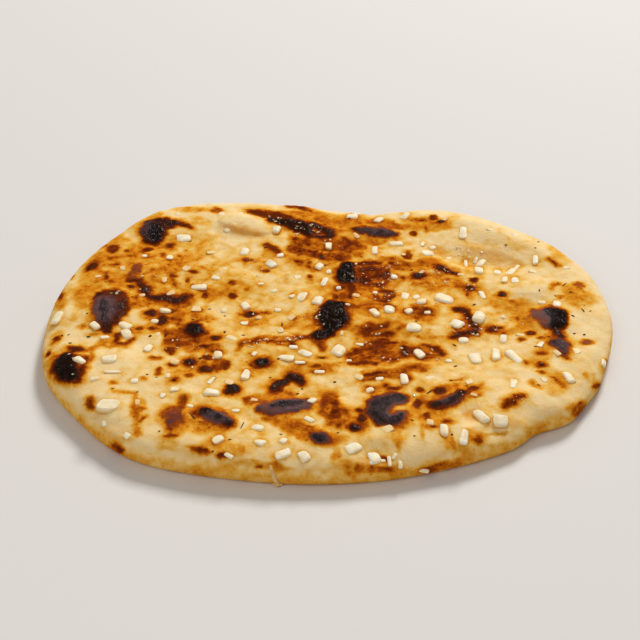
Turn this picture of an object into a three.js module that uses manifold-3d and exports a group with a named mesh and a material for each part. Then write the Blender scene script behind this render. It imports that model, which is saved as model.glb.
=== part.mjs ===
// Garlic naan: one uneven oval of leavened flatbread, blistered on top, with chopped garlic baked into it.
// Millimetres, +Z up. The bread lies on z = 0, its middle over the origin and its long way along X.
import * as THREE from "three";
import { mergeVertices } from "three/addons/utils/BufferGeometryUtils.js";
import Module from "manifold-3d";

const wasm = await Module();
wasm.setup();
const { lerp, clamp, degToRad, euclideanModulo: modulo } = THREE.MathUtils;

const crown = 12.8; // height of the plain top
const widest = 4.8; // height at which the bread is widest
const topRoll = 17; // how far in from the rim the top still rounds over
const underRoll = 7; // how far in from the rim the underside rounds up
const rollSquareness = 2.3; // of the rounded edge: 2 is a plain ellipse, more is squarer
const spareBelow = 1; // dough below z = 0, cut away to leave a flat underside

const topCells = 38; // cells across the top, each way
const edgeCells = 6; // cells up the rounded edge
const underCells = 2; // of those, the ones below the widest level

// The rim seen from above, anticlockwise from the right end, and how finely its curve is read.
const samplesPerPoint = 16;
const rim = [
  [122, -1],
  [119.5, 29.5],
  [112, 46.5],
  [102, 61.5],
  [78.5, 78.5],
  [56, 89],
  [38, 89],
  [22, 86],
  [4, 88.5],
  [-15, 93],
  [-50, 96],
  [-74, 92],
  [-91, 79],
  [-112, 45.5],
  [-121, 8.5],
  [-118.5, -31],
  [-99.5, -61.5],
  [-78.5, -81.5],
  [-50, -91],
  [-13, -96],
  [21, -94],
  [50, -86],
  [71.5, -76.5],
  [82.5, -67],
  [96.5, -60],
  [105, -48.5],
  [113, -34],
];

// Relief of the top, each row x, y, half length, half width, turn in degrees and rise.
// Blisters stand up and are the parts that char.
const blisters = [
  [-80, 65, 14, 12, 60, 2.2],
  [-94, 1, 19, 13, 80, 2.2],
  [-105, -39, 17, 11, 110, 2.2],
  [-56, -12, 9, 8, 0, 1.6],
  [-14, 71, 26, 10, -25, 2.4],
  [22, 63, 16, 9, -5, 1.8],
  [2, -3, 15, 12, 90, 2],
  [8, 32, 13, 9, 90, 1.8],
  [50, 34, 8, 8, 0, 1.4],
  [95, -4, 14, 13, 0, 2.4],
  [96, -22, 11, 7, 100, 1.6],
  [-19, -62, 16, 10, 6, 1.9],
  [-44, -69, 12, 8, -26, 1.8],
  [-61, -69, 10, 10, 0, 1.4],
  [22, -65, 13, 12, 90, 2.2],
  [2, -65, 11, 8, 90, 1.2],
  [-4, -81, 7, 7, 0, 1.3],
  [48, -58, 12, 7, 42, 1.6],
  [73, -58, 12, 7, 40, 1.4],
];

// Swollen rolls and pale puffs.
const puffs = [
  [-10, 74, 120, 24, 0, 1],
  [86, 55, 40, 12, -40, 3.4],
  [-40, 69, 17, 12, -12, 2.6],
  [88, 16, 14, 11, 20, 1.8],
  [64, -2, 9, 8, 0, 1.4],
  [-86, -61, 20, 13, -35, 1.2],
  [-88, -31, 16, 12, 10, 1.4],
];

// Valleys and finger dents, with a rise below 0.
const dents = [
  [66, 42, 28, 10, -22, -3.4],
  [16, -25, 30, 16, 10, -1.8],
  [55, -68, 8, 6, 60, -1.8],
  [66, -76, 11, 6, 0, -1.6],
  [82, -75, 9, 6, 70, -1.8],
  [18, -88, 12, 7, 0, -2],
  [24, 75, 16, 11, 0, -1.6],
  [-66, 21, 20, 14, 30, -1.2],
  [30, 17, 18, 13, 0, -1.2],
];

// Long low swells of the top: wavelength, direction in degrees, phase in degrees, rise.
const swells = [
  [96, 25, 40, 0.5],
  [61, 110, 160, 0.4],
  [38, 70, 15, 0.3],
];

// Chopped garlic. The pieces that stand out: x, y, length, width, turn in degrees.
const largeSeed = 7;
const largeGarlic = [
  [-118, -2, 10, 5.5, 80],
  [-87, -62, 11, 8, -10],
  [-67, 60, 7, 5.5, 70],
  [-86, -9, 7, 5, -30],
  [-85, -15, 7, 5, 110],
  [-99, -10, 6.5, 3.5, 125],
  [-70, 2, 6, 4.5, 0],
  [-102, -35, 6, 4, -40],
  [-90, -34, 7, 4.5, 0],
  [-75, -25, 6, 4, 80],
  [-46, -29, 6.5, 4.5, 90],
  [-57, 20, 6, 4, -25],
  [-47, -54, 7, 4.5, -5],
  [-24, 63, 6, 4.5, 85],
  [-28, -75, 6, 4.5, -20],
  [-18, -89, 7, 5, 20],
  [-43, -82, 6, 4.5, 40],
  [-26, 37, 6, 4.5, -50],
  [-36, 7, 5.5, 4.5, -60],
  [-5, 9, 7, 5, 75],
  [-12, 12, 7, 5, 70],
  [0, 50, 6, 4, 85],
  [21, 48, 7, 3.2, 90],
  [31, 54, 7.5, 4, 0],
  [11, 77, 6, 5, 0],
  [23.5, 76, 5.5, 4.5, 50],
  [36, 77, 6, 4, 55],
  [62, 62, 8, 4, 82],
  [67, 33, 9, 4.5, 84],
  [69, 43.5, 6, 3.6, 60],
  [45, 48, 7, 4.5, 20],
  [81, 32.5, 8, 3.8, 58],
  [82, 24, 7, 4, 90],
  [33, 14, 6, 4.5, 70],
  [50, 11, 9, 6, -15],
  [64, -4, 7, 6, 60],
  [35.5, -11, 8, 6, -10],
  [26, 1, 6.5, 5, 90],
  [19.5, -1, 6.5, 3.6, -65],
  [4, -25, 8, 6, 60],
  [-10, -28, 6.5, 5, -30],
  [-18, -31, 7.5, 4, -15],
  [37, -28, 7, 5, -60],
  [69, -28, 9, 4.4, 85],
  [76, -30, 10, 4.6, -55],
  [60, -31, 7, 5.5, 100],
  [98, 6, 6, 4.5, 80],
  [30, -46, 7.5, 4, 92],
  [59, -68, 8.5, 4.5, 115],
  [67, -70, 6.5, 6, 0],
  [9, -86, 7, 5, 35],
  [17, -88.5, 6.5, 5, 110],
  [-10, -90, 6, 4.5, 120],
  [97, -43, 6.5, 4, 105],
];

// The rest are strewn, one to a cell, and roll off the blisters.
const smallGarlic = {
  spacing: 15,
  jitter: 0.6, // share of a cell that a piece may stray over
  fromRim: 12, // none nearer to the rim than this
  fromLarge: 8, // nor to the middle of a large piece
  upBlister: 0.3, // nor where a blister has more than this share of its rise
  length: [3, 5],
  seed: 20,
};
const garlicWidth = [0.6, 0.85]; // share of a small piece's length
const garlicHeight = 0.68; // share of its width
const garlicSunk = 0.45; // share of the height below the bread's surface
const unevenness = 0.14; // how far a corner strays, as a share of the piece
const choppedShape = new THREE.IcosahedronGeometry(1.05, 0);

// Numbers from 0 to 1, the same ones each time for one seed.
function seededDraw(seed) {
  let state = seed;
  return () => {
    state = (state * 16807) % 2147483647;
    return state / 2147483647;
  };
}

const fullTurn = 2 * Math.PI;

// Distance from the origin to the rim, as a function of the angle.
function rimRadius() {
  const points = rim.map(([x, y]) => new THREE.Vector3(x, y, 0));
  const curve = new THREE.CatmullRomCurve3(points, true, "catmullrom", 0.5);
  const table = curve
    .getPoints(rim.length * samplesPerPoint)
    .slice(1)
    .map(({ x, y }) => ({ angle: modulo(Math.atan2(y, x), fullTurn), radius: Math.hypot(x, y) }))
    .sort((a, b) => a.angle - b.angle);
  return (angle) => {
    const turned = modulo(angle, fullTurn);
    const after = Math.max(0, table.findIndex((entry) => entry.angle > turned));
    const before = (after + table.length - 1) % table.length;
    const gap = modulo(table[after].angle - table[before].angle, fullTurn);
    const share = modulo(turned - table[before].angle, fullTurn) / gap;
    return lerp(table[before].radius, table[after].radius, share);
  };
}

const radiusAt = rimRadius();

// A smooth mound, 1 in its middle and 0 outside its oval.
function mound(x, y, [centreX, centreY, halfLength, halfWidth, turn]) {
  const angle = degToRad(turn);
  const along = (x - centreX) * Math.cos(angle) + (y - centreY) * Math.sin(angle);
  const across = (y - centreY) * Math.cos(angle) - (x - centreX) * Math.sin(angle);
  const outward = (along / halfLength) ** 2 + (across / halfWidth) ** 2;
  return outward < 1 ? (1 - outward) ** 2 : 0;
}

// Height of the top away from the rim.
function topHeight(x, y) {
  let height = crown;
  for (const row of [...blisters, ...puffs, ...dents]) {
    height += row[5] * mound(x, y, row);
  }
  for (const [wavelength, direction, phase, rise] of swells) {
    const angle = degToRad(direction);
    const along = x * Math.cos(angle) + y * Math.sin(angle);
    height += rise * Math.sin((2 * Math.PI * along) / wavelength + degToRad(phase));
  }
  return height;
}

// Height of the top anywhere inside the rim, rounded edge included.
function surfaceHeight(x, y) {
  const inward = radiusAt(Math.atan2(y, x)) - Math.hypot(x, y);
  const share = clamp(1 - inward / topRoll, 0, 1);
  return widest + (topHeight(x, y) - widest) * (1 - share ** rollSquareness) ** (1 / rollSquareness);
}

// A geometry reduced to positions and an index, with shared corners.
function welded(geometry) {
  const bare = geometry.clone();
  bare.deleteAttribute("normal");
  bare.deleteAttribute("uv");
  return mergeVertices(bare, 1e-4);
}

function toSolid(geometry) {
  const vertProperties = new Float32Array(geometry.attributes.position.array);
  const triVerts = new Uint32Array(geometry.index.array);
  return new wasm.Manifold(new wasm.Mesh({ numProp: 3, vertProperties, triVerts }));
}

function toGeometry(solid) {
  const { vertProperties, triVerts } = solid.getMesh();
  const geometry = new THREE.BufferGeometry();
  geometry.setAttribute("position", new THREE.BufferAttribute(vertProperties, 3));
  geometry.setIndex(new THREE.BufferAttribute(triVerts, 1));
  geometry.computeVertexNormals();
  return geometry;
}

// Polar place of a point of a square from -1 to 1: its rings become circles and its corners spread out.
function squareToDisc(a, b) {
  if (Math.abs(a) >= Math.abs(b)) {
    const angle = a === 0 ? 0 : (Math.PI / 4) * (b / a);
    return { share: Math.abs(a), angle: a < 0 ? angle + Math.PI : angle };
  }
  const angle = Math.PI / 2 - (Math.PI / 4) * (a / b);
  return { share: Math.abs(b), angle: b < 0 ? angle + Math.PI : angle };
}

// A point of the bread for a point of a cube from -1 to 1: the cube's sides become the rounded edge.
function breadPoint({ x: a, y: b, z: level }) {
  const { share, angle } = squareToDisc(a, b);
  const cellsUp = ((level + 1) / 2) * edgeCells - underCells;
  const above = cellsUp >= 0;
  const roll = above ? topRoll : underRoll;
  const round = (Math.PI / 2) * (above ? cellsUp / (edgeCells - underCells) : -cellsUp / underCells);
  const outward = Math.cos(round) ** (2 / rollSquareness);
  const upward = Math.sin(round) ** (2 / rollSquareness);
  const reach = (radiusAt(angle) - roll) * share + roll * outward;
  const x = reach * Math.cos(angle);
  const y = reach * Math.sin(angle);
  const limit = above ? topHeight(x, y) : -spareBelow;
  return new THREE.Vector3(x, y, widest + (limit - widest) * upward);
}

function bread() {
  const geometry = welded(new THREE.BoxGeometry(2, 2, 2, topCells, topCells, edgeCells));
  const position = geometry.attributes.position;
  for (let i = 0; i < position.count; i++) {
    const corner = new THREE.Vector3().fromBufferAttribute(position, i);
    position.setXYZ(i, ...breadPoint(corner));
  }
  return toSolid(geometry).trimByPlane([0, 0, 1], 0);
}

// One chopped piece, its corners uneven, lying half sunk in the bread at x, y.
function garlicPiece(draw, x, y, length, width, turn) {
  const geometry = welded(choppedShape);
  const position = geometry.attributes.position;
  for (let i = 0; i < position.count; i++) {
    const corner = new THREE.Vector3().fromBufferAttribute(position, i);
    corner.multiplyScalar(1 + unevenness * (2 * draw() - 1));
    position.setXYZ(i, ...corner);
  }
  const height = garlicHeight * width;
  const lift = height * (0.5 - garlicSunk);
  geometry.scale(length / 2, width / 2, height / 2);
  geometry.rotateZ(degToRad(turn));
  geometry.translate(x, y, surfaceHeight(x, y) + lift);
  return toSolid(geometry);
}

function largePieces() {
  const draw = seededDraw(largeSeed);
  return largeGarlic.map((row) => garlicPiece(draw, ...row));
}

function smallPieces() {
  const { spacing, jitter, fromRim, fromLarge, upBlister, length, seed } = smallGarlic;
  const draw = seededDraw(seed);
  const reach = Math.ceil(Math.max(...rim.flat()) / spacing);
  const pieces = [];
  for (let row = -reach; row <= reach; row++) {
    for (let column = -reach; column <= reach; column++) {
      const x = spacing * (column + (row % 2) / 2 + jitter * (draw() - 0.5));
      const y = spacing * (row + jitter * (draw() - 0.5));
      const long = lerp(...length, draw());
      const wide = long * lerp(...garlicWidth, draw());
      const turn = 180 * draw();
      const inside = radiusAt(Math.atan2(y, x)) - Math.hypot(x, y) > fromRim;
      const clear = largeGarlic.every(([otherX, otherY]) => Math.hypot(x - otherX, y - otherY) > fromLarge);
      const onBlister = blisters.some((blister) => mound(x, y, blister) > upBlister);
      if (inside && clear && !onBlister) {
        pieces.push(garlicPiece(draw, x, y, long, wide, turn));
      }
    }
  }
  return pieces;
}

function naan() {
  const solid = wasm.Manifold.union([bread(), ...largePieces(), ...smallPieces()]);
  const material = new THREE.MeshStandardMaterial({ color: 0xe8c88a, roughness: 0.7, metalness: 0 });
  const mesh = new THREE.Mesh(toGeometry(solid), material);
  mesh.name = "naan";
  return mesh;
}

const model = new THREE.Group();
model.add(naan());

export default model;
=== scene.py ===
import math
import random

import bmesh
import bpy
import numpy as np
from mathutils import Matrix, Vector, noise


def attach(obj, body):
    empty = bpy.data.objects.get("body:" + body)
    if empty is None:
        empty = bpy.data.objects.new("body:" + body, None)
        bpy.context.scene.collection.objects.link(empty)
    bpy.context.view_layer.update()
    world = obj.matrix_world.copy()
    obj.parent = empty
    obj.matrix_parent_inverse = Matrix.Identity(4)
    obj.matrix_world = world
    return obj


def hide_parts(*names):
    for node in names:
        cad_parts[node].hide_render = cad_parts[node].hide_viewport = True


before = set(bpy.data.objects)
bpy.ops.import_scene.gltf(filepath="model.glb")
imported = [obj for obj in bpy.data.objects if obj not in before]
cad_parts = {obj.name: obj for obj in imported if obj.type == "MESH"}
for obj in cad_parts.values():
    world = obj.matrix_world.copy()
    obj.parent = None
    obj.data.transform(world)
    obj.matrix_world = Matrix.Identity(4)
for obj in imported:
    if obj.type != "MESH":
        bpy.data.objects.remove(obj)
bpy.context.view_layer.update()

mm = 0.001   # everything below is laid out in millimetres, as the solid is

# Form of the bread

breadShape = {
    "crown": 12.8,          # height of the plain top
    "widest": 4.8,          # height at which the bread is widest
    "topRoll": 17,          # how far in from the rim the top still rounds over
    "underRoll": 7,         # the same for the underside
    "squareness": 2.3,      # of the rounded edge, 2 is a plain ellipse
    "spareBelow": 1,        # the underside's roll runs this far below the plate and is pressed flat
    "topCells": 250,
    "edgeRings": 26,
    "underRings": 7,
}

# rim seen from above, anticlockwise from the right end
rim = [
    (122, -1), (119.5, 29.5), (112, 46.5), (102, 61.5), (78.5, 78.5), (56, 89), (38, 89), (22, 86), (4, 88.5),
    (-15, 93), (-50, 96), (-74, 92), (-91, 79), (-112, 45.5), (-121, 8.5), (-118.5, -31), (-99.5, -61.5),
    (-78.5, -81.5), (-50, -91), (-13, -96), (21, -94), (50, -86), (71.5, -76.5), (82.5, -67), (96.5, -60),
    (105, -48.5), (113, -34),
]

# x, y, half length, half width, turn in degrees, rise
blisters = [
    (-80, 65, 14, 12, 60, 2.2), (-94, 1, 19, 13, 80, 2.2), (-105, -39, 17, 11, 110, 2.2),
    (-56, -12, 9, 8, 0, 1.6), (-14, 71, 26, 10, -25, 2.4), (22, 63, 16, 9, -5, 1.8),
    (2, -3, 15, 12, 90, 2), (8, 32, 13, 9, 90, 1.8), (50, 34, 8, 8, 0, 1.4),
    (95, -4, 14, 13, 0, 2.4), (96, -22, 11, 7, 100, 1.6), (-19, -62, 16, 10, 6, 1.9),
    (-44, -69, 12, 8, -26, 1.8), (-61, -69, 10, 10, 0, 1.4), (22, -65, 13, 12, 90, 2.2),
    (2, -65, 11, 8, 90, 1.2), (-4, -81, 7, 7, 0, 1.3), (48, -58, 12, 7, 42, 1.6),
    (73, -58, 12, 7, 40, 1.4),
]
puffs = [
    (-10, 74, 120, 24, 0, 1), (85, 53.5, 40, 12.5, -40, 2.8), (-40, 69, 17, 12, -12, 2.6),
    (88, 16, 14, 11, 20, 1.8), (64, -2, 9, 8, 0, 1.4), (-86, -61, 20, 13, -35, 1.2),
    (-88, -31, 16, 12, 10, 1.4),
]
dents = [
    (66, 42, 28, 10, -22, -3.4), (16, -25, 30, 16, 10, -1.8), (55, -68, 8, 6, 60, -1.8),
    (66, -76, 11, 6, 0, -1.6), (82, -75, 9, 6, 70, -1.8), (18, -88, 12, 7, 0, -2),
    (24, 75, 16, 11, 0, -1.6), (-66, 21, 20, 14, 30, -1.2), (30, 17, 18, 13, 0, -1.2),
]
swells = [(96, 25, 40, 0.5), (61, 110, 160, 0.4), (38, 70, 15, 0.3)]   # wavelength, direction, phase, rise


def closedCurve(points, perPoint=16):
    # a smooth curve through the points and back to the first
    p = np.array(points, float)
    before, after, second = np.roll(p, 1, 0), np.roll(p, -1, 0), np.roll(p, -2, 0)
    out = []
    for t in np.arange(perPoint) / perPoint:
        out.append(0.5 * (2 * p + (after - before) * t + (2 * before - 5 * p + 4 * after - second) * t**2
                          + (3 * p - before - 3 * after + second) * t**3))
    return np.stack(out, 1).reshape(-1, 2)


rimSpare = 0.03   # mm that the rim stays inside the solid's
rimCurve = closedCurve(rim)
rimAngles = np.arctan2(rimCurve[:, 1], rimCurve[:, 0])
rimReach = np.hypot(rimCurve[:, 0], rimCurve[:, 1]) - rimSpare


def radiusAt(angle):
    return np.interp(angle, rimAngles, rimReach, period=2 * math.pi)


def ovalDistance(x, y, row):
    # 0 in the middle of a row's oval, 1 on its edge
    turn = math.radians(row[4])
    along = (x - row[0]) * math.cos(turn) + (y - row[1]) * math.sin(turn)
    across = (y - row[1]) * math.cos(turn) - (x - row[0]) * math.sin(turn)
    return np.sqrt((along / row[2]) ** 2 + (across / row[3]) ** 2)


def mound(x, y, row):
    return np.clip(1 - ovalDistance(x, y, row) ** 2, 0, None) ** 2


def topHeight(x, y):
    height = np.full_like(x, breadShape["crown"])
    for row in blisters + puffs + dents:
        height += row[5] * mound(x, y, row)
    for wavelength, direction, phase, rise in swells:
        along = x * math.cos(math.radians(direction)) + y * math.sin(math.radians(direction))
        height += rise * np.sin(2 * math.pi * along / wavelength + math.radians(phase))
    return height


def surfaceHeight(x, y):
    x, y = np.atleast_1d(np.asarray(x, float)), np.atleast_1d(np.asarray(y, float))
    n = breadShape["squareness"]
    inward = radiusAt(np.arctan2(y, x)) - np.hypot(x, y)
    share = np.clip(1 - inward / breadShape["topRoll"], 0, 1)
    low = breadShape["widest"]
    return low + (topHeight(x, y) - low) * (1 - share**n) ** (1 / n)


# Camera

cameraView = {
    "place": (-3.9, -518.8, 390.9),
    "pitch": 36.34,   # degrees down
    "lens": 84.375,
    "sensor": 36,
    "clip": (0.01, 20),
}


def makeCamera():
    data = bpy.data.cameras.new("camera")
    data.lens = cameraView["lens"]
    data.sensor_width = cameraView["sensor"]
    data.clip_start, data.clip_end = cameraView["clip"]
    camera = bpy.data.objects.new("camera", data)
    camera.location = Vector(cameraView["place"]) * mm
    camera.rotation_euler = (math.radians(90 - cameraView["pitch"]), 0, 0)
    bpy.context.collection.objects.link(camera)
    bpy.context.scene.camera = camera


makeCamera()
print("camera set")

# Helpers for materials


def linear(red, green, blue):
    # a colour as a picture has it (sRGB, 0 to 255), in the values that a shader takes
    return tuple(c / 12.92 if c <= 0.04045 else ((c + 0.055) / 1.055) ** 2.4
                 for c in (red / 255, green / 255, blue / 255)) + (1.0,)


def newMaterial(name):
    # the helpers below add their nodes to the newest material
    global tree
    material = bpy.data.materials.new(name)
    material.use_nodes = True
    tree = material.node_tree
    return material, tree.nodes["Principled BSDF"]


def fill(node, values):
    for key, value in values.items():
        if isinstance(value, bpy.types.NodeSocket):
            tree.links.new(value, node.inputs[key])
        else:
            node.inputs[key].default_value = value


def newNode(kind, values, **settings):
    node = tree.nodes.new("ShaderNode" + kind)
    for key, value in settings.items():
        setattr(node, key, value)
    fill(node, values)
    return node


def calculate(operation, a, b):
    return newNode("Math", {0: a, 1: b}, operation=operation).outputs[0]


def times(a, b):
    return calculate("MULTIPLY", a, b)


def plus(a, b):
    return calculate("ADD", a, b)


def centred(value, amount):
    return times(calculate("SUBTRACT", value, 0.5), amount)


def between(value, low, high, outLow=0.0, outHigh=1.0):
    return newNode("MapRange", {"Value": value, "From Min": low, "From Max": high, "To Min": outLow,
                                "To Max": outHigh}, clamp=True).outputs[0]


def blendValue(share, a, b):
    return newNode("Mix", {0: share, 2: a, 3: b}).outputs[0]


def blend(share, a, b, how="MIX"):
    return newNode("Mix", {0: share, 6: a, 7: b}, data_type="RGBA", blend_type=how).outputs[2]


def attribute(name):
    return newNode("Attribute", {}, attribute_name=name).outputs["Fac"]


def objectPlace(stretch=(1, 1, 1), turn=0):
    # a pattern read here is drawn out by stretch, then turned
    place = newNode("TexCoord", {}).outputs["Object"]
    return newNode("Mapping", {"Vector": place, "Rotation": (0, 0, math.radians(turn)), "Scale": stretch},
                   vector_type="TEXTURE").outputs["Vector"]


def heightAbove():
    return newNode("SeparateXYZ", {0: objectPlace()}).outputs["Z"]


def grain(size, detail=3, roughness=0.6, stretch=(1, 1, 1), turn=0):
    # soft random pattern, its patches about size millimetres wide
    return newNode("TexNoise", {"Scale": 1 / (size * mm), "Detail": detail, "Roughness": roughness,
                                "Vector": objectPlace(stretch, turn)}).outputs["Fac"]


dotEdge = (0.12, 0.34)   # shares of the spacing between which a freckle fades


def freckles(spacing):
    # round dots of all sizes up to half the spacing
    dots = newNode("TexVoronoi", {"Scale": 1 / (spacing * mm), "Vector": objectPlace()})
    return between(dots.outputs["Distance"], *dotEdge, 1.0, 0.0)


def colourScale(value, stops, top=1.0):
    # the stops' places run up to top, the ramp's own to 1
    node = newNode("ValToRGB", {"Fac": calculate("DIVIDE", value, top)})
    elements = node.color_ramp.elements
    while len(elements) < len(stops):
        elements.new(0.5)
    for element, (place, colour) in zip(elements, stops):
        element.position = place / top
        element.color = linear(*colour)
    return node.outputs["Color"]


def bump(height, distance, strength=1.0, below=None):
    node = newNode("Bump", {"Strength": strength, "Distance": distance * mm, "Height": height})
    if below is not None:
        fill(node, {"Normal": below})
    return node.outputs["Normal"]


# Where the oven marked the bread. How far a place is baked: 0 pale, 0.4 golden, 0.65 brown, 0.8 dark brown,
# 0.93 a purple-brown char, over 1 black. Places are read at the crown's level along the line of sight.

# soft zones: x, y, half length, half width, turn, baked
goldenZones = [
    (-98, 30, 20, 27, 10, 0.36), (-88, 44, 16, 16, 0, 0.4), (-75, 28, 18, 15, 0, 0.37),
    (-68, 40, 16, 7, 10, 0.36), (-100, 56, 13, 9, 50, 0.4), (-88, 75, 16, 5, 40, 0.4),
    (-106, 15, 12, 18, 0, 0.42), (-84, 10, 12, 9, 0, 0.45), (-95, -2, 13, 17, 0, 0.44),
    (-68, 10, 17, 9, 0, 0.55), (-51, 14, 11, 8, 0, 0.38), (-64, -3, 18, 11, 0, 0.52),
    (-62, -18, 20, 11, 0, 0.65), (-52, -25, 13, 7, 0, 0.56), (-58, -38, 15, 10, 0, 0.47),
    (-46, -36, 9, 9, 0, 0.56), (-78, -12, 9, 9, 0, 0.45), (-105, -37, 9, 18, 10, 0.42),
    (-92, -22, 11, 3, 5, 0.42), (-61, -69, 11, 12, 0, 0.46), (-48, -73, 16, 11, -25, 0.42),
    (-75, -66, 4, 16, 8, 0.38), (-60, -85, 9, 7, 0, 0.36), (-40, -88, 14, 9, -20, 0.34),
    (-116, -18, 5, 9, 0, 0.36), (-76, 56, 12, 9, -30, 0.36), (-60, 72, 10, 7, -30, 0.3),
    (-60, 55, 10, 8, 0, 0.22), (-62, 84, 22, 5, 0, 0.32), (-15, 76, 28, 11, -15, 0.5),
    (15, 70, 28, 13, -4, 0.51), (30, 70, 9, 5, 0, 0.62), (-30, -58, 6, 9, 0, 0.56),
    (45, 70, 19, 10, -10, 0.48), (-8, 55, 17, 10, -35, 0.54), (9, 51, 17, 12, 0, 0.62),
    (22, 58, 15, 6, 0, 0.46), (18, 27, 17, 17, 0, 0.71), (30, 38, 15, 9, 0, 0.56), (8, 18, 11, 10, 0, 0.62),
    (-12, 40, 9, 15, 0, 0.4), (-25, 48, 9, 8, -40, 0.42), (-36, 40, 9, 5, 0, 0.36),
    (-28, 33, 8, 6, 0, 0.34), (-40, 18, 10, 13, 0, 0.38), (-22, 15, 22, 16, 0, 0.07),
    (46, 25, 22, 10, -5, 0.45), (60, 21, 12, 9, 0, 0.52), (40, 37, 13, 8, 0, 0.52), (22, 6, 15, 11, 0, 0.5),
    (5, 5, 13, 18, 0, 0.54), (20, -12, 13, 11, 10, 0.54), (20, -28, 18, 12, 3, 0.64),
    (21, -20, 9, 4, 0, 0.66), (38, -28, 13, 9, -20, 0.52), (-22, -19, 24, 4.5, 7, 0.56),
    (-12, -7, 13, 9, 0, 0.44), (-34, -3, 13, 8, 0, 0.38), (38, 0, 11, 10, 0, 0.5), (58, -7, 10, 14, 0, 0.5),
    (44, -14, 13, 6, 0, 0.46), (22, -42, 17, 7, 5, 0.55), (35, -38, 13, 6, 0, 0.48),
    (-18, -58, 17, 15, 0, 0.46), (2, -64, 10, 18, 0, 0.6), (-12, -74, 17, 9, -35, 0.58),
    (-2, -82, 11, 6, 0, 0.45), (20, -60, 16, 17, 0, 0.46), (12, -72, 9, 8, 0, 0.46),
    (38, -62, 12, 12, 20, 0.46), (51, -54, 15, 9, 28, 0.45), (42, -72, 11, 8, 0, 0.38),
    (-30, -37, 12, 9, 0, 0.34), (-8, -38, 16, 7, 0, 0.42), (80, 5, 16, 10, -10, 0.39),
    (83, -6, 9, 14, 0, 0.5), (71, -11, 14, 5, 0, 0.46), (87, -30, 8, 16, -10, 0.42),
    (96, -16, 7, 17, 0, 0.44), (108, 13, 10, 15, 20, 0.44), (86, 54, 10, 8, -45, 0.14),
    (104, 45, 16, 6, -60, 0.26), (75, 13, 6, 6, 0, 0.42), (72, -58, 9, 6, 42, 0.36),
    (92, -48, 8, 10, 0, 0.3), (26, -82, 3, 8, 0, 0.34), (46, -84, 3, 9, 0, 0.36), (2, -92, 3, 9, 0, 0.4),
    (57, -80, 5, 8, 0, 0.38), (64, -79, 8, 3, 0, 0.38), (-118, 12, 5, 14, 0, 0.46),
    (97, -64, 8, 5, 60, 0.4), (106, -46, 6, 4, 60, 0.3), (-26, -97, 14, 4, -5, 0.42),
    (12, -99, 16, 5, 0, 0.34), (42, -97, 12, 4, 12, 0.34), (-109, 0, 6, 7, 0, 0.28),
    (32, 85, 22, 5, -4, 0.28),
]

# a faint golden haze over wide areas, in the same form
goldenHaze = [
    (-8, 22, 88, 58, 0, 0.1), (-82, 38, 44, 50, 0, 0.12), (0, -45, 95, 60, 0, 0.08),
    (72, 30, 45, 45, 0, 0.04), (45, 0, 48, 30, 0, 0.08), (0, 55, 26, 30, 30, 0.1),
]

# pale places inside the golden ones: x, y, half length, half width, turn, how much they lighten
paleSpots = [
    (-90, 62, 6, 7, 0, 0.8), (-60, 27, 9, 6, 0, 0.8), (-65, -37, 4, 4, 0, 0.6), (-75, -23, 8, 7, 0, 0.9),
    (-8, -59, 5, 5, 0, 0.9), (-7, -70, 5, 4, 0, 0.7), (9, -55, 7, 9, 0, 1.0),
    (26, -63.5, 4.5, 2.5, 10, 0.8), (32, 55, 6, 3.5, 0, 0.8), (21, 51, 2.5, 6, 0, 0.6),
    (-38, 70, 14, 10, -12, 0.6), (-20, 25, 16, 14, 0, 0.5), (-31, 25, 10, 8, 0, 0.9),
    (24, -2, 8, 6, 60, 0.6), (36, -11, 7, 6, 0, 0.7), (32, 13, 10, 8, 0, 0.8), (50, 11, 14, 7, -10, 0.8),
    (64, -3, 8, 7, 0, 0.9), (52, -4, 6, 7, 0, 0.8), (-20, -30, 16, 6, 4, 0.9), (3, -24, 5, 6, 60, 0.8),
    (48, -12, 7, 4, 20, 0.7), (-47, 1, 9, 8, 0, 0.7), (-50, -50, 12, 8, 0, 0.7), (-20, 5, 10, 6, 0, 0.5),
    (8, -42, 9, 6, 0, 0.7), (67, 40, 6, 12, 0, 0.7), (-2, 28, 5, 8, 0, 0.7),
]

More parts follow.
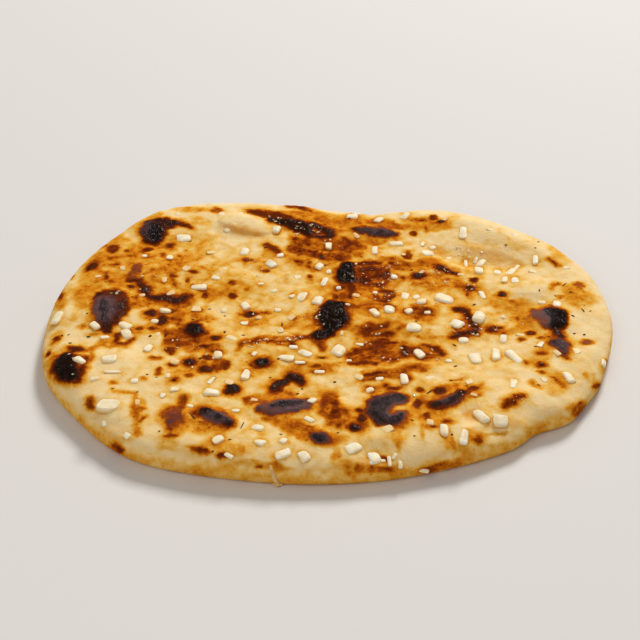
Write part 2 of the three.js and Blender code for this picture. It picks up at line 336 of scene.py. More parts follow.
# char with a form of its own: baked, then x, y and half width along its run
charStrokes = [
    (0.95, (-81, 70, 5), (-81, 64, 6), (-80.5, 58, 4.2)),
    (1.16, (-80.5, 69, 3), (-80.5, 64, 4), (-79.5, 59, 3)), (1.0, (-79, 73, 2.6), (-72, 71.5, 2.8)),
    (0.96, (-77, 68, 2.5), (-73, 68.5, 2)), (0.79, (-70, 71, 2.2), (-65.5, 69, 1.8), (-63.5, 67, 1.0)),
    (0.81, (-75.5, 75.5, 1.5), (-76, 73, 2)), (0.77, (-80.5, 55, 1.6), (-78.5, 53, 0.9)),
    (0.67, (-84.5, 37.5, 1.6), (-85.5, 32, 2.4), (-87.5, 27, 2.6)),
    (0.94, (-82, 22, 1.2), (-80, 17, 2.1), (-78.5, 13, 1.3)),
    (1.25, (-88, 25, 0.35), (-86, 25.5, 0.5), (-84, 24.2, 0.5), (-82.3, 21.7, 0.35)),
    (0.97, (-77, 11.5, 1.8), (-71, 11, 2), (-66, 9.3, 2.4), (-62.5, 12, 1.4)),
    (0.89, (-95, 10, 7.6), (-93.5, 4, 8.2), (-94, -4, 5.4)),
    (1.06, (-97.5, 11, 1.1), (-97, 4, 2.5), (-95.5, -4, 2)), (0.95, (-90, 8, 2.8), (-89.5, 3, 2.6)),
    (0.95, (-94, -6, 2.8), (-93.5, -12.5, 1.8)), (0.85, (-89, -14.5, 0.9), (-89, -20, 1.2)),
    (0.71, (-88.5, -22, 0.9), (-85, -22.5, 1.1), (-82, -18, 0.9)),
    (0.55, (-101, -27, 0.8), (-98, -24, 0.8), (-95, -22.5, 0.8), (-90, -23.5, 0.9), (-86, -23, 0.8)),
    (0.53, (-98.5, -25, 0.9), (-98, -31, 0.9), (-98.5, -38, 0.8)),
    (1.16, (-108.5, -31, 3), (-108, -38, 4.6), (-105.5, -44, 3.6)),
    (0.85, (-106, -25, 2.2), (-103.5, -25, 1.8)), (0.83, (-103, -39, 3), (-102.5, -46, 2.4)),
    (0.79, (-101, -31, 1.2), (-99.5, -37, 1.2)), (0.71, (-95.5, -57, 0.9), (-94.2, -62.5, 1.4)),
    (1.1, (-57.5, -10.5, 3.4), (-55.5, -13, 3.1)),
    (0.55, (-87, -51.5, 0.5), (-82, -53, 0.6), (-78, -54, 0.7), (-77, -59, 1), (-76, -65, 1.5),
     (-75, -70, 0.8)), (0.55, (-75.5, -74, 1), (-74, -79, 1.1)),
    (1.03, (-49, -66, 3.2), (-44, -69, 3.7), (-39.5, -72.5, 2)), (0.75, (-39, -73, 1.4), (-37, -74.5, 0.7)),
    (0.68, (-62, -67, 4.2), (-60.5, -71, 4)), (0.79, (-62, -75, 1.2), (-61, -77.5, 0.8)),
    (0.69, (-59, -63, 1.8), (-58, -57, 1.8)), (0.79, (-83, -85, 1), (-80, -89, 1.2)),
    (0.79, (-36.5, 81.5, 2), (-30, 79.5, 3.2), (-24, 77.5, 3.4), (-18, 75.5, 2.4)),
    (1.0, (-27, 74, 1.8), (-21, 72.3, 3.2), (-15, 69.5, 4.3), (-11, 66.5, 4), (-9, 63.5, 2.6)),
    (0.96, (-8, 70, 1.5), (-3.5, 67, 2), (0.5, 64, 2.4), (1.5, 61, 1.6), (-3, 59.5, 1.2), (-8, 60.5, 1.4)),
    (0.75, (-19, 85.8, 0.8), (-12, 84.5, 1.6), (-8, 82.5, 0.9)), (0.92, (12.5, 66, 2), (16.5, 65, 3.2)),
    (0.96, (19.5, 64.3, 3.2), (26, 62.8, 3.1), (30.5, 61.8, 1.8)),
    (0.77, (-28, 53, 1.6), (-25, 50.5, 2.2), (-23, 47.5, 1.4)),
    (0.65, (-16, 50, 3), (-9, 47, 3), (-3, 44, 3), (3, 43, 3.4), (8, 43, 3)),
    (1.22, (8.5, 36, 2.6), (7, 31, 3.8), (7, 27, 3.6), (10, 24.5, 2)),
    (0.81, (11, 37, 1.6), (17, 38, 1.9), (23, 38.6, 1.3)),
    (0.79, (10, 22, 1.8), (10.5, 16, 2), (9, 12, 1.4)),
    (0.81, (22, 16, 1), (26.5, 16, 1.1), (28, 12.5, 1.1), (25, 9.5, 1.2), (21.5, 10, 1.1)),
    (1.22, (2.3, 3.5, 5), (2, -3, 6.4), (1.5, -8, 5)), (1.12, (-1.5, -14, 3), (-4.5, -16.5, 2.8)),
    (0.74, (-7, -17, 2), (-14, -18.5, 0.8), (-22, -20.5, 0.4)),
    (0.65, (-30, -20.5, 0.8), (-37, -22, 1), (-38, -26, 0.8)), (0.73, (-3, -20, 2), (-3, -26, 1.1)),
    (0.71, (16.5, -12, 2.2), (20, -9.5, 2.4), (24, -9, 1.8)), (0.77, (18, -16, 1.4), (26, -14.5, 1.6)),
    (0.75, (7, -29.5, 1.2), (11, -27.5, 1.4), (16, -25.5, 1.4), (21, -24, 1)),
    (0.75, (21, -22, 0.8), (27, -20.5, 1)), (0.98, (31, -23.5, 1.5), (31.3, -30, 1.2)),
    (0.81, (21, -33, 0.8), (28.5, -31.3, 0.7)), (0.79, (9, -34.5, 1), (14, -34, 1.6), (18, -35, 1)),
    (0.81, (15, -42.5, 1), (19, -42, 1.4), (23, -41, 0.7)), (0.79, (25, -41, 0.5), (29, -40, 0.6)),
    (0.87, (-27, -64, 2.4), (-22, -63.3, 4), (-16, -62, 4.6), (-10, -60.3, 3.6)),
    (1.1, (-23, -62.8, 1.2), (-17, -61.3, 2.6), (-11, -60, 1.8)), (0.77, (2, -60.5, 1.4), (2, -67.5, 2.6)),
    (0.51, (-25, -69, 1.6), (-18, -72.5, 3), (-13, -78, 2.6), (-8, -82, 2.2)),
    (1.08, (28, -57.5, 2.6), (24, -58.3, 3.3), (19.5, -61.5, 3.9), (18.5, -66, 3.7), (20.5, -70.5, 3.4),
     (24, -71.3, 2.8), (27.5, -69.5, 2.1), (28, -67.5, 1.4)),
    (1.02, (-15.5, -43.5, 2.4), (-13, -45, 2.5), (-11.3, -47.8, 1.6)),
    (1.0, (-22, -51.5, 2.6), (-20.5, -48.5, 2.6), (-17, -46, 1.8)),
    (1.08, (41.5, -61.5, 1.8), (46, -59.5, 2.3), (50, -56.8, 1.7), (53.5, -54, 1.4)),
    (0.59, (54, -57.5, 0.7), (60, -54.5, 0.9)), (0.57, (59, -50, 0.6), (61.5, -48.5, 0.5)),
    (0.79, (69, -62, 1.6), (72, -59, 2.4), (76, -55.5, 1.5)),
    (0.79, (39, -22.5, 0.9), (43, -24, 1.5), (46, -28, 1.7)),
    (0.94, (50, 34.5, 2.4), (54, 31.6, 1), (57, 30, 0.9)),
    (0.94, (55, 2.8, 1.9), (58, 2, 1.6), (59.5, -2, 1.2), (60, -6, 1.1), (61.5, -10, 1.6),
     (61.8, -13.5, 1.2)), (0.98, (52, -16.3, 1), (57, -14.8, 1.4), (61, -13.3, 1.1)),
    (0.83, (66.5, -12.5, 1.2), (70, -11.3, 1.5), (73, -10.5, 0.8)),
    (0.81, (88.5, 0.5, 2.4), (90.5, -3, 3.8), (92.5, -7.5, 3)),
    (1.18, (94.5, 1, 3), (98, -1, 4), (97, -7, 3.8), (96, -10, 2)), (1.02, (96, -11, 1.6), (97, -17, 1.6)),
    (1.0, (94, -20, 2.3), (97, -22, 2.5), (97, -26, 1.7)), (0.79, (96.3, -28, 1), (98.3, -32.5, 0.6)),
    (0.73, (99, 41.7, 0.9), (101, 39.3, 1.4), (103, 36.7, 0.8)),
    (0.59, (97, 18, 0.6), (98.5, 21.5, 0.8), (101, 22.5, 0.6)),
    (0.69, (99.3, -60, 0.7), (97.3, -64, 1.1), (95.5, -67, 0.8)), (0.57, (91, -44, 0.9), (94, -50, 1)),
    (0.55, (83.5, -50, 1), (81, -46.5, 1.2)),
]

# spots: x, y, half length, half width, turn, baked
bakedSpots = [
    (-98, 50, 2.8, 3.6, -30, 0.8), (-82.5, 49, 2.6, 1.4, 0, 0.78), (-72, 52, 1.2, 1.8, 0, 0.93),
    (-75, 45, 1.1, 2, 0, 0.74), (-67, 44, 1, 1.1, 0, 0.67), (-65, 49, 0.8, 0.8, 0, 0.52),
    (-106, 36, 1.8, 3.8, -20, 0.93), (-95, 38, 1.4, 1.8, 0, 0.7), (-86.7, 20, 1.4, 1, -20, 0.93),
    (-98.3, 27, 0.7, 1.3, 0, 0.93), (-60, 31, 1.8, 1.1, 0, 0.76), (-62, 24, 0.8, 2.2, 0, 0.72),
    (-68, 28, 0.9, 1, 0, 0.67), (-60, 12.4, 1.1, 1.5, 0, 0.78), (-54, 13, 1.7, 1.9, 0, 0.78),
    (-115, 27, 1.4, 2, 0, 0.74), (-117, 12, 1.4, 4, 10, 0.72), (-76, 0, 2.8, 2.5, 0, 0.94),
    (-71, -5, 1.9, 3.6, 0, 0.96), (-80, -10.5, 1.8, 1.3, 0, 0.68), (-74, -10.5, 2.2, 1.4, 0, 0.72),
    (-63, -11, 0.8, 1.8, 0, 0.76), (-104.5, -9, 1.8, 2, 0, 0.58), (-99, -15, 2.4, 1, 0, 0.54),
    (-114, -18, 1, 2.2, 0, 0.74), (-116, -28, 0.8, 2, 0, 0.7), (-66, -26, 2.3, 2, 0, 0.8),
    (-52, -23.5, 2.6, 1, 10, 0.82), (-48, -17.5, 2.3, 2.1, 0, 0.94), (-71.5, -31.5, 2.2, 1.4, 0, 0.64),
    (-64, -36, 1.8, 1.6, 30, 0.78), (-57, -34, 2.7, 2.2, -25, 1.0), (-69.5, -40.5, 1.3, 2.4, 0, 0.64),
    (-62.5, -46, 1, 0.8, 0, 1.0), (-57, -42.5, 1.9, 1.2, 0, 0.68), (-50, -39, 2.8, 2, 0, 0.9),
    (-50, -31, 2, 2, 0, 0.76), (-87, -47, 1.7, 1.4, 0, 0.54), (-75, -45, 1.4, 1.4, 0, 0.42),
    (-74.5, -64, 1.7, 1.4, 0, 0.62), (-73, -70.5, 0.6, 1.4, -20, 0.82), (-61.5, -80.5, 2.8, 1.5, 0, 0.68),
    (-50, -88.3, 3.6, 1.6, -25, 0.74), (-36, 40.5, 2.8, 1.6, 0, 0.66), (-28, 32.5, 1.8, 1.6, 0, 0.62),
    (-12, 49, 2.2, 1.6, 0, 0.76), (-7, 47.5, 2.4, 1.2, -20, 0.8), (-3, 43.5, 1.3, 1.8, 20, 0.92),
    (5, 42.5, 2.2, 2.6, 0, 0.76), (-9, 38, 1.5, 1.6, 0, 0.64), (-8, 27, 1.4, 1.9, 0, 0.7),
    (3, 12, 1.5, 2.6, 0, 0.74), (25.5, 12.8, 2.6, 2.4, 0, 0.74), (-3, 63.5, 3, 2, 0, 0.74),
    (-42, 13, 2.2, 2.6, 0, 0.78), (-42.5, 23, 1.8, 2.2, 0, 0.66), (28, 38, 1.4, 1.1, 0, 0.82),
    (33, 27, 1.3, 1.7, 0, 0.78), (49, 76, 2.1, 1.7, 0, 0.8), (53, 73, 2.3, 1.7, 30, 0.94),
    (44, 74, 0.8, 0.8, 0, 0.9), (45, 67, 0.9, 2.3, 0, 0.64), (39.5, 62.5, 1.8, 1.8, 0, 0.78),
    (36, 44, 1.8, 3.2, 0, 0.68), (30, 72, 1.5, 1, 0, 0.52), (40, 28.5, 2.9, 2, 10, 1.02),
    (64, 25, 1.8, 1.9, 0, 0.92), (62, 19, 2.2, 2.6, 0, 0.9), (60.5, 14, 0.5, 1, 0, 0.93),
    (75.5, 13.5, 1.5, 1.5, 0, 0.96), (110, 21, 2.8, 2.6, 0, 0.56), (105, 12, 3, 3, 30, 0.48),
    (101, 12.5, 1.6, 1.2, 0, 0.52), (36, 5, 1.2, 1.8, 0, 0.54), (-34, -0.5, 2.6, 1.9, 0, 0.94),
    (-27.5, 0.5, 2.4, 1.3, 0, 0.62), (-15, -3, 1.8, 1.8, 0, 0.58), (85, -13.5, 2.4, 1.9, 10, 0.82),
    (88.5, -17.5, 1.8, 1.1, 0, 0.62), (80.5, -18, 1.2, 1.2, 0, 0.68), (80.5, -3.5, 1.1, 1.7, 0, 0.7),
    (107.5, -20, 2.3, 2, 0, 0.68), (88, -28, 2.7, 1.7, 0, 0.69), (87, -35.5, 1.2, 1.1, 0, 1.0),
    (86.5, -35.5, 2.6, 2.3, 0, 0.64), (86, -40.5, 1.8, 1, -30, 0.66), (81, -34, 1, 1.7, 0, 0.66),
    (104, -43, 0.8, 1.8, 0, 0.5), (107, -49.5, 1.2, 2.2, -60, 0.64), (36, -52, 2, 1.8, 0, 0.76),
    (44, -52.5, 2.1, 2.1, 0, 0.91), (57, -51, 2.4, 2, 0, 0.82), (51.5, -45.5, 2.2, 0.8, 8, 0.62),
    (45.5, -71.5, 2.3, 1.5, 0, 0.76), (40.5, -74, 1.8, 1.1, 0, 0.68), (38, -68.5, 1.7, 2.4, 0, 0.7),
    (35, -60.5, 1.9, 2.8, 0, 0.8), (57.3, -82, 1.9, 3, -15, 0.66), (46.5, -84, 1, 5, 5, 0.52),
    (35.5, -78, 1, 2.4, 0, 0.5), (-28, -34, 3.5, 3, 0, 1.05), (-6, -36.5, 2.8, 1.1, 5, 0.7),
    (-3, -31, 1.8, 0.6, 0, 0.8), (-39.5, -52, 3.2, 3.4, 0, 1.05), (-43, -36, 2.4, 3.4, 0, 0.72),
    (-4, -81.5, 3, 3, 0, 1.08), (10, -75.5, 2.7, 2.1, 10, 1.02), (12.5, -69.5, 1.8, 2.6, 0, 0.91),
    (12, -64.7, 1.8, 1.1, 0, 0.8), (26, -51.3, 3.1, 1.6, 15, 0.78), (22.5, -49.3, 1, 0.6, 30, 0.93),
    (-41, -91.5, 2.2, 1.7, 0, 0.78), (-34, -88, 1.4, 2.5, 0, 0.47), (-27, -98, 1.8, 1.2, 0, 0.66),
    (11, -98.5, 1.7, 2.4, 0, 0.6), (20.5, -93, 1.9, 1.7, 0, 0.68), (1.5, -92, 0.8, 4, 0, 0.42),
    (26, -84.5, 0.9, 3, 0, 0.44), (-52.5, 82.5, 2.7, 2.2, 10, 0.66), (-60, 83, 1.6, 1.8, 0, 0.42),
    (-48, -56, 1.4, 1, 0, 0.42), (42, -98.5, 5, 1.4, 12, 0.46),
]

# butter that stayed wet: x, y, half length, half width, turn, how wet
butterPools = [
    (20, 27, 17, 16, 0, 1.0), (2, -2, 10, 15, 0, 1.0), (-22, -19, 22, 5, 7, 1.0), (22, -25, 18, 12, 5, 0.8),
    (46, 26, 22, 9, -5, 0.9), (59, -8, 8, 14, 0, 1.0), (40, -28, 12, 9, 0, 0.8), (-7, 65, 12, 7, -20, 1.0),
    (-36, 41, 8, 5, 0, 0.8), (-34, 0, 8, 5, 0, 0.9), (-12, -5, 12, 8, 0, 0.7), (-10, 45, 14, 9, -30, 0.6),
    (-20, 30, 22, 16, 0, 0.4), (70, -12, 9, 5, 0, 0.8), (65, 42, 8, 9, 0, 0.5), (-60, -20, 16, 9, 0, 0.5),
    (36, 0, 10, 8, 0, 0.6), (-108, -38, 7, 10, 10, 0.7), (96, -4, 6, 8, 0, 0.7), (22, -64, 9, 9, 0, 0.6),
    (47, -58, 9, 5, 30, 0.6), (73, -59, 6, 4, 40, 0.6),
]

# char with an ashen purple bloom that is partly painted sheen: x, y, half length, half width, turn, how much
ashenSheenPlaces = [
    (-97, 3, 8, 13, 0, 0.75), (-18, -62, 18, 8, 0, 0.7), (-61, -69, 8, 8, 0, 0.4), (90, -3, 9, 9, 0, 1.0),
    (96, -24, 6, 8, 0, 0.7), (24, -64, 12, 13, 0, 0.8), (-44, -69, 9, 6, 0, 0.7), (-84, 66, 6, 10, 0, 0.4),
    (24, 64, 14, 6, 0, 0.5), (107, -20, 6, 6, 0, 0.9), (111, 20, 6, 6, 0, 0.6), (-86, 33, 6, 8, 0, 0.5),
    (48, -58, 9, 6, 0, 0.4), (-4, -82, 6, 6, 0, 0.5),
]

# hollows where soaked butter and painted shade deepen the colour: x, y, half length, half width, turn, depth
deepHollows = [
    (51, 47, 4, 5, 0, 1.0), (75, 43, 10, 5, -25, 0.6), (84, 38, 5, 4, -30, 0.5), (73, 46, 16, 6, -30, 0.5),
    (56, -68, 4.5, 5.5, 60, 1.0), (64, -74, 6, 3, 0, 0.5), (72, -73, 3, 4, 0, 0.5), (82, -75, 3, 5, 0, 0.8),
    (88, -77, 2, 4, 0, 0.5), (14, -95, 4, 5, 0, 0.6), (52, -92, 6, 3, 10, 0.5), (-62, 42, 14, 6, 0, 0.25),
    (22, 45, 4, 8, 0, 0.3), (-40, 64.5, 16, 4.5, -22, 0.9), (43, -88, 3, 5, 0, 0.3),
    (-80, -78, 10, 6, -40, 0.25),
]

# the larger pieces, as in the solid: x, y, length, width, turn
largeGarlic = [
    (-115.9, -2, 9, 4.6, 80), (-87, -62, 11, 8, -10), (-67, 60, 7, 5.5, 5), (-86, -9, 7, 5, -30),
    (-85, -15, 7, 5, 110), (-99, -10, 6.5, 3.5, 125), (-70, 2, 6, 4.5, 0), (-102, -35, 6, 4, -40),
    (-90, -34, 7, 4.5, 0), (-75, -25, 6, 4, 80), (-46, -29, 6.5, 4.5, 90), (-57, 20, 8, 3.6, -10),
    (-47, -54, 7, 4.5, -5), (-24, 63, 6, 4.5, 85), (-28, -75, 6, 4.5, -20), (-18, -89, 7, 5, 20),
    (-43, -82, 6, 4.5, 40), (-26, 37, 6, 4.5, -50), (-36, 7, 5.5, 4.5, -60), (-5, 9, 7, 5, 75),
    (-12, 12, 7, 5, 70), (0, 50, 6, 4, 85), (21, 48, 7, 3.2, 90), (31, 54, 7.5, 4, 0), (11, 77, 6, 5, 0),
    (23.5, 76, 5.5, 4.5, 50), (36, 77, 6, 4, 55), (62, 62, 8, 4, 82), (67, 34, 9, 4.5, 84),
    (69, 43.5, 6, 3.6, 60), (45, 48, 7, 4.5, 20), (81, 32.5, 8, 3.8, 58), (82, 24, 7, 4, 90),
    (33, 14, 6, 4.5, 70), (50, 11, 9, 6, -15), (64, -4, 7, 6, 60), (35.5, -11, 8, 6, -10),
    (26, 1, 6.5, 5, 90), (19.5, -1, 6.5, 3.6, -65), (4, -25, 8, 6, 60), (-10, -28, 6.5, 5, -30),
    (-18, -31, 7.5, 4, -15), (37, -28, 7, 5, -60), (69, -28, 9, 4.4, 85), (76, -30, 10, 4.6, -55),
    (60, -31, 7, 5.5, 100), (98, 6, 6, 4.5, 80), (30, -46, 7.5, 4, 92), (59, -68, 8.5, 4.5, 115),
    (67, -70, 6.5, 6, 0), (9, -86, 7, 5, 35), (17, -88.5, 6.5, 5, 110), (-10, -90, 6, 4.5, 120),
    (97, -43, 6.5, 4, 105),
]

# finer pieces, where they are seen: x, y, length, width, turn
fineGarlic = [
    (13.5, 79, 4, 2.5, 0), (61.5, 38, 9, 2, 88), (43, 54, 4, 2, 70), (47.5, 51, 4, 2.5, 20),
    (75, 31, 6, 4, 80), (84, 35, 5, 2.5, 55), (93, 41, 7, 3, 80), (77.5, 25, 5, 3, 80), (40, 8, 5, 4, 0),
    (34, 1.5, 4.5, 4, 40), (54, -8, 7, 6, 60), (66.5, 13, 6, 3, 100), (73, -18, 5, 3.5, 80),
    (88, -22, 4, 2.5, 60), (12.5, -22.3, 4, 1.6, -20), (-22, 2, 3, 2.5, 0), (-2, 23, 6, 4, 70),
    (4, 19, 3, 3, 0), (-4, 35.5, 5, 4, 60), (0, 31, 3, 3, 0), (-22, 44, 4, 3, 20), (-26, 38, 5, 4, -40),
    (-38, 47, 6, 4, 80), (-36, -7, 3.5, 3, 0), (-94, -17, 4, 2.5, 20), (-74, -6, 4, 3.5, 0),
    (-87.5, -75, 3, 2, 100), (-78, -81, 4, 3, -50), (-66.5, -56, 3.5, 2.5, 70), (-47.5, -46, 5, 2.5, 70),
    (-62, -52, 4, 3, 0), (-55, -62, 3, 2.5, 0), (-79, -46, 4, 3, 0), (-8, -70.5, 5, 3, -40),
    (-7, -59, 4, 3.5, 60), (-4, -40.5, 5, 2.6, 5), (20, -45, 4, 3, 0), (16, -52, 4, 3, 20),
    (-18, -83, 4, 3, 60), (-27, -84, 5, 4, -30), (-37, -65, 4, 3, 0), (-34, -43, 7, 4, 80),
    (-38, -98.5, 4, 2, -35), (-12, -34, 5, 2.5, 0), (74, -48, 7, 3, 80), (15.5, -99, 4, 2, 80),
    (19.5, -98, 3, 1.8, 0), (22, -99, 5, 1.8, 95), (26, -100, 4, 1.8, 95), (24, -97.5, 3, 1.6, 60),
    (35, -100, 4, 1.8, -10), (-83, 44, 3, 2.4, 0), (-71.5, 43, 4, 3.5, 80), (-88, -40.5, 7, 2, -3),
    (-95, -45, 4, 2.5, 10), (-30, 22, 3, 2, 0), (-16, 12, 3.4, 2.6, 60), (42, 1, 3, 2.5, 0),
    (20, 15, 2.5, 2, 0), (29, 27, 3.5, 3, 0), (38, 12, 4, 3, 30), (56, -19, 5, 4, 0), (49, -33, 3, 2.4, 0),
    (8, -33, 3, 2, 0), (-15, -24, 4, 2.4, 0), (-31, -28, 3, 2.4, 60), (8, 6, 2.4, 2, 0),
    (-50, 27, 5, 3, -30), (92, 8, 4, 2.6, 0), (66, 40, 4, 2, 60), (51, -86, 8, 4, 80), (44, -77, 6, 4, 85),
    (112.2, -35, 5, 3, 80),
]

markEdges = {
    "stray": ((4.5, 1.0), (1.7, 0.5)),    # how a mark's outline wanders: mm between turns, mm strayed
    "zoneStray": ((13, 4.0), (5, 1.6)),   # the same for the soft zones
    "mottle": ((9, 0.2), (3.4, 0.22)),    # the same for how far the dough is baked
    "mottled": (0.45, 0.8, 0.3),          # share of it on plain dough, gain with haze, haze counted at most
    "veins": (7.5, 3.2, 0.25),            # toasted veins: mm between them, how narrow, how strong at most
    "soft": 2.0,                          # mm over which a mark's edge fades to each side
    "spotSoft": 1.2,                      # the same for spots
    "grown": 0.4,                         # share of the fade by which a mark reaches past its drawn edge
    "zoneBaked": 0.95,                    # share of the zones' own levels
    "zoneFade": 0.62,                     # share of a zone from its edge inwards over which it comes in
    "paleFade": 0.6,                      # the same for the pale places
    "paleInHaze": 0.5,                    # share of a pale place that shows in the haze
    "rim": 2.2,                           # mm that a black mark's brown rim takes
    "rimFrom": 0.5,                       # mm outside its edge where that begins
    "rimBaked": 0.84,
    "halo": 1.9,                          # mm in which the golden ring round a mark fades by two thirds
    "haloUneven": (7, 1.3, 0.3),          # mm between its changes, how large they are, the least share of it
    "haloEnds": 6,                        # fades further out nothing of it is left
    "haloBaked": 0.48,
    "haloMost": 1.1,                      # the level past which a mark's halo grows no more
    "haloHidden": 0.55,                   # share of the dough's own level that a halo has to pass
    "plain": 0.08,                        # how far the pale dough is baked
    "joined": 3,                          # the power that joins it with the zones
    "fringe": 0.16,                       # how much further it is close to the garlic
    "fringeFade": 1.1,                    # mm in which that fades by two thirds
    "fringeReach": 4,
    "edgeBakedAndShaded": 0.22,                    # how much further the bread is baked low down on its edge, part browning and part painted shade
    "edgeHeight": (5, 10.5),              # mm up, where that is full and where it begins
    "backHeight": 9.5,                    # mm, the least height that the far side's marks are read at
    "backFrom": 50,                       # mm behind the middle where that holds in full
}


def sightPlace(x, y, z):
    # where the line of sight through a point crosses the crown's level; what faces away keeps its place
    seenFrom = cameraView["place"]
    lowest = markEdges["backHeight"] * np.clip(y / markEdges["backFrom"], 0, 1)
    share = (seenFrom[2] - breadShape["crown"]) / (seenFrom[2] - np.maximum(z, lowest))
    return seenFrom[0] + (x - seenFrom[0]) * share, seenFrom[1] + (y - seenFrom[1]) * share


def surfacePlace(seenX, seenY):
    # the place on the bread behind a seen place
    seenFrom = cameraView["place"]
    x, y = seenX, seenY
    for _ in range(3):
        share = (seenFrom[2] - float(surfaceHeight(x, y)[0])) / (seenFrom[2] - breadShape["crown"])
        x = seenFrom[0] + (seenX - seenFrom[0]) * share
        y = seenFrom[1] + (seenY - seenFrom[1]) * share
    return x, y


patternSeed = 1
patternShift = (17.3, 5.1, 9.7)   # from one pattern to the next
noise.seed_set(patternSeed)       # it would start from the clock otherwise


def wander(points, scale, number):
    # a smooth random field, another one for each number
    shift = Vector([number * step for step in patternShift])
    return np.array([noise.noise_vector(Vector(p) / scale + shift) for p in points])


def layered(points, layers, number):
    return sum(wander(points, scale, number + i) * amount for i, (scale, amount) in enumerate(layers))


def eased(value):
    value = np.clip(value, 0, 1)
    return value * value * (3 - 2 * value)


def strokeDistance(x, y, points):
    # millimetres outside a run of round dabs joined up, negative inside
    nearest = np.full_like(x, np.inf)
    for (x0, y0, w0), (x1, y1, w1) in zip(points, points[1:]):
        dx, dy = x1 - x0, y1 - y0
        t = np.clip(((x - x0) * dx + (y - y0) * dy) / (dx * dx + dy * dy), 0, 1)
        nearest = np.minimum(nearest, np.hypot(x - x0 - t * dx, y - y0 - t * dy) - (w0 + t * (w1 - w0)))
    return nearest


def zoneField(x, y, rows, power=5):
    # soft ovals laid over each other: the power keeps the highest, 1 adds them up
    total = np.zeros_like(x)
    for row in rows:
        total += (row[5] * eased((1 - ovalDistance(x, y, row)) / markEdges["zoneFade"])) ** power
    return total ** (1 / power)


def garlicFringe(x, y):
    # butter toasts the dough a little round each piece of garlic
    e = markEdges
    fringe = np.zeros_like(x)
    places = np.array([row[:2] for row in largeGarlic])
    seenPlaces = zip(*sightPlace(*places.T, surfaceHeight(*places.T)))
    seen = [place + row[2:] for place, row in zip(seenPlaces, largeGarlic)]
    for seenX, seenY, length, width, turn in seen + fineGarlic:
        reach = length + e["fringeReach"]
        close = (abs(x - seenX) < reach) & (abs(y - seenY) < reach)
        oval = (seenX, seenY, length / 2, width / 2, turn)
        out = (ovalDistance(x[close], y[close], oval) - 1) * width / 2
        fringe[close] = np.maximum(fringe[close], np.exp(-np.clip(out, 0, None) / e["fringeFade"]))
    return e["fringe"] * fringe


def markShapes():
    # every mark as its level, softness, the box it lies in and its distance rule
    e = markEdges
    for row in bakedSpots:
        x, y, reach = row[0], row[1], max(row[2:4])
        yield row[5], e["spotSoft"], (x - reach, x + reach, y - reach, y + reach), \
            lambda px, py, row=row: (ovalDistance(px, py, row) - 1) * min(row[2:4])
    for level, *run in charStrokes:
        xs, ys, reach = [p[0] for p in run], [p[1] for p in run], max(p[2] for p in run)
        yield level, e["soft"], (min(xs) - reach, max(xs) + reach, min(ys) - reach, max(ys) + reach), \
            lambda px, py, run=run: strokeDistance(px, py, run)


def bakedField(points):
    # how far the crust is baked at each point
    e = markEdges
    seenX, seenY = sightPlace(*points.T)
    flat = np.stack([seenX, seenY, np.zeros_like(seenX)], 1)
    far = layered(flat, e["zoneStray"], 3)
    x, y = seenX + far[:, 0], seenY + far[:, 1]
    base = zoneField(x, y, goldenZones) * e["zoneBaked"]
    haze = zoneField(x, y, goldenHaze, 1)
    for row in paleSpots:
        paler = row[5] * eased((1 - ovalDistance(x, y, row)) / e["paleFade"])
        base *= 1 - paler
        haze *= 1 - e["paleInHaze"] * paler
    base = (base ** e["joined"] + (e["plain"] + haze) ** e["joined"]) ** (1 / e["joined"])
    full, begin = e["edgeHeight"]
    # darker low on the edge: browning and painted shade
    base += e["edgeBakedAndShaded"] * eased((begin - points[:, 2]) / (begin - full))
    plainShare, hazeShare, hazeMost = e["mottled"]
    mottle = layered(flat, e["mottle"], 5)[:, 0] * (plainShare + hazeShare * np.clip(haze, 0, hazeMost))
    apart, narrow, most = e["veins"]
    veins = np.clip(1 - narrow * abs(wander(flat, apart, 7)[:, 1]), 0, 1) * np.clip(haze, 0, most)
    base += mottle + veins + garlicFringe(seenX, seenY)

    near = layered(flat, e["stray"], 1)
    x, y = seenX + near[:, 0], seenY + near[:, 1]
    field, halo = np.zeros_like(x), np.zeros_like(x)
    spare = e["haloEnds"] * e["halo"]
    apart, uneven, least = e["haloUneven"]
    haloReach = e["halo"] * np.clip(1 + uneven * wander(flat, apart, 8)[:, 0], least, None)
    for level, soft, (left, right, front, back), distance in markShapes():
        close = (x > left - spare) & (x < right + spare) & (y > front - spare) & (y < back + spare)
        out = distance(x[close], y[close]) - e["grown"] * soft
        core = level
        if level > e["rimBaked"]:
            core = e["rimBaked"] + (level - e["rimBaked"]) * np.clip((e["rimFrom"] - out) / e["rim"], 0, 1)
        field[close] = np.maximum(field[close], core * eased((soft - out) / (2 * soft)))
        fading = np.exp(-np.clip(out, 0, None) / haloReach[close])
        halo[close] = np.maximum(halo[close], e["haloBaked"] * min(level, e["haloMost"]) ** 2 * fading)
    return np.maximum(base + np.clip(halo - base * e["haloHidden"], 0, None), field)


# Bread


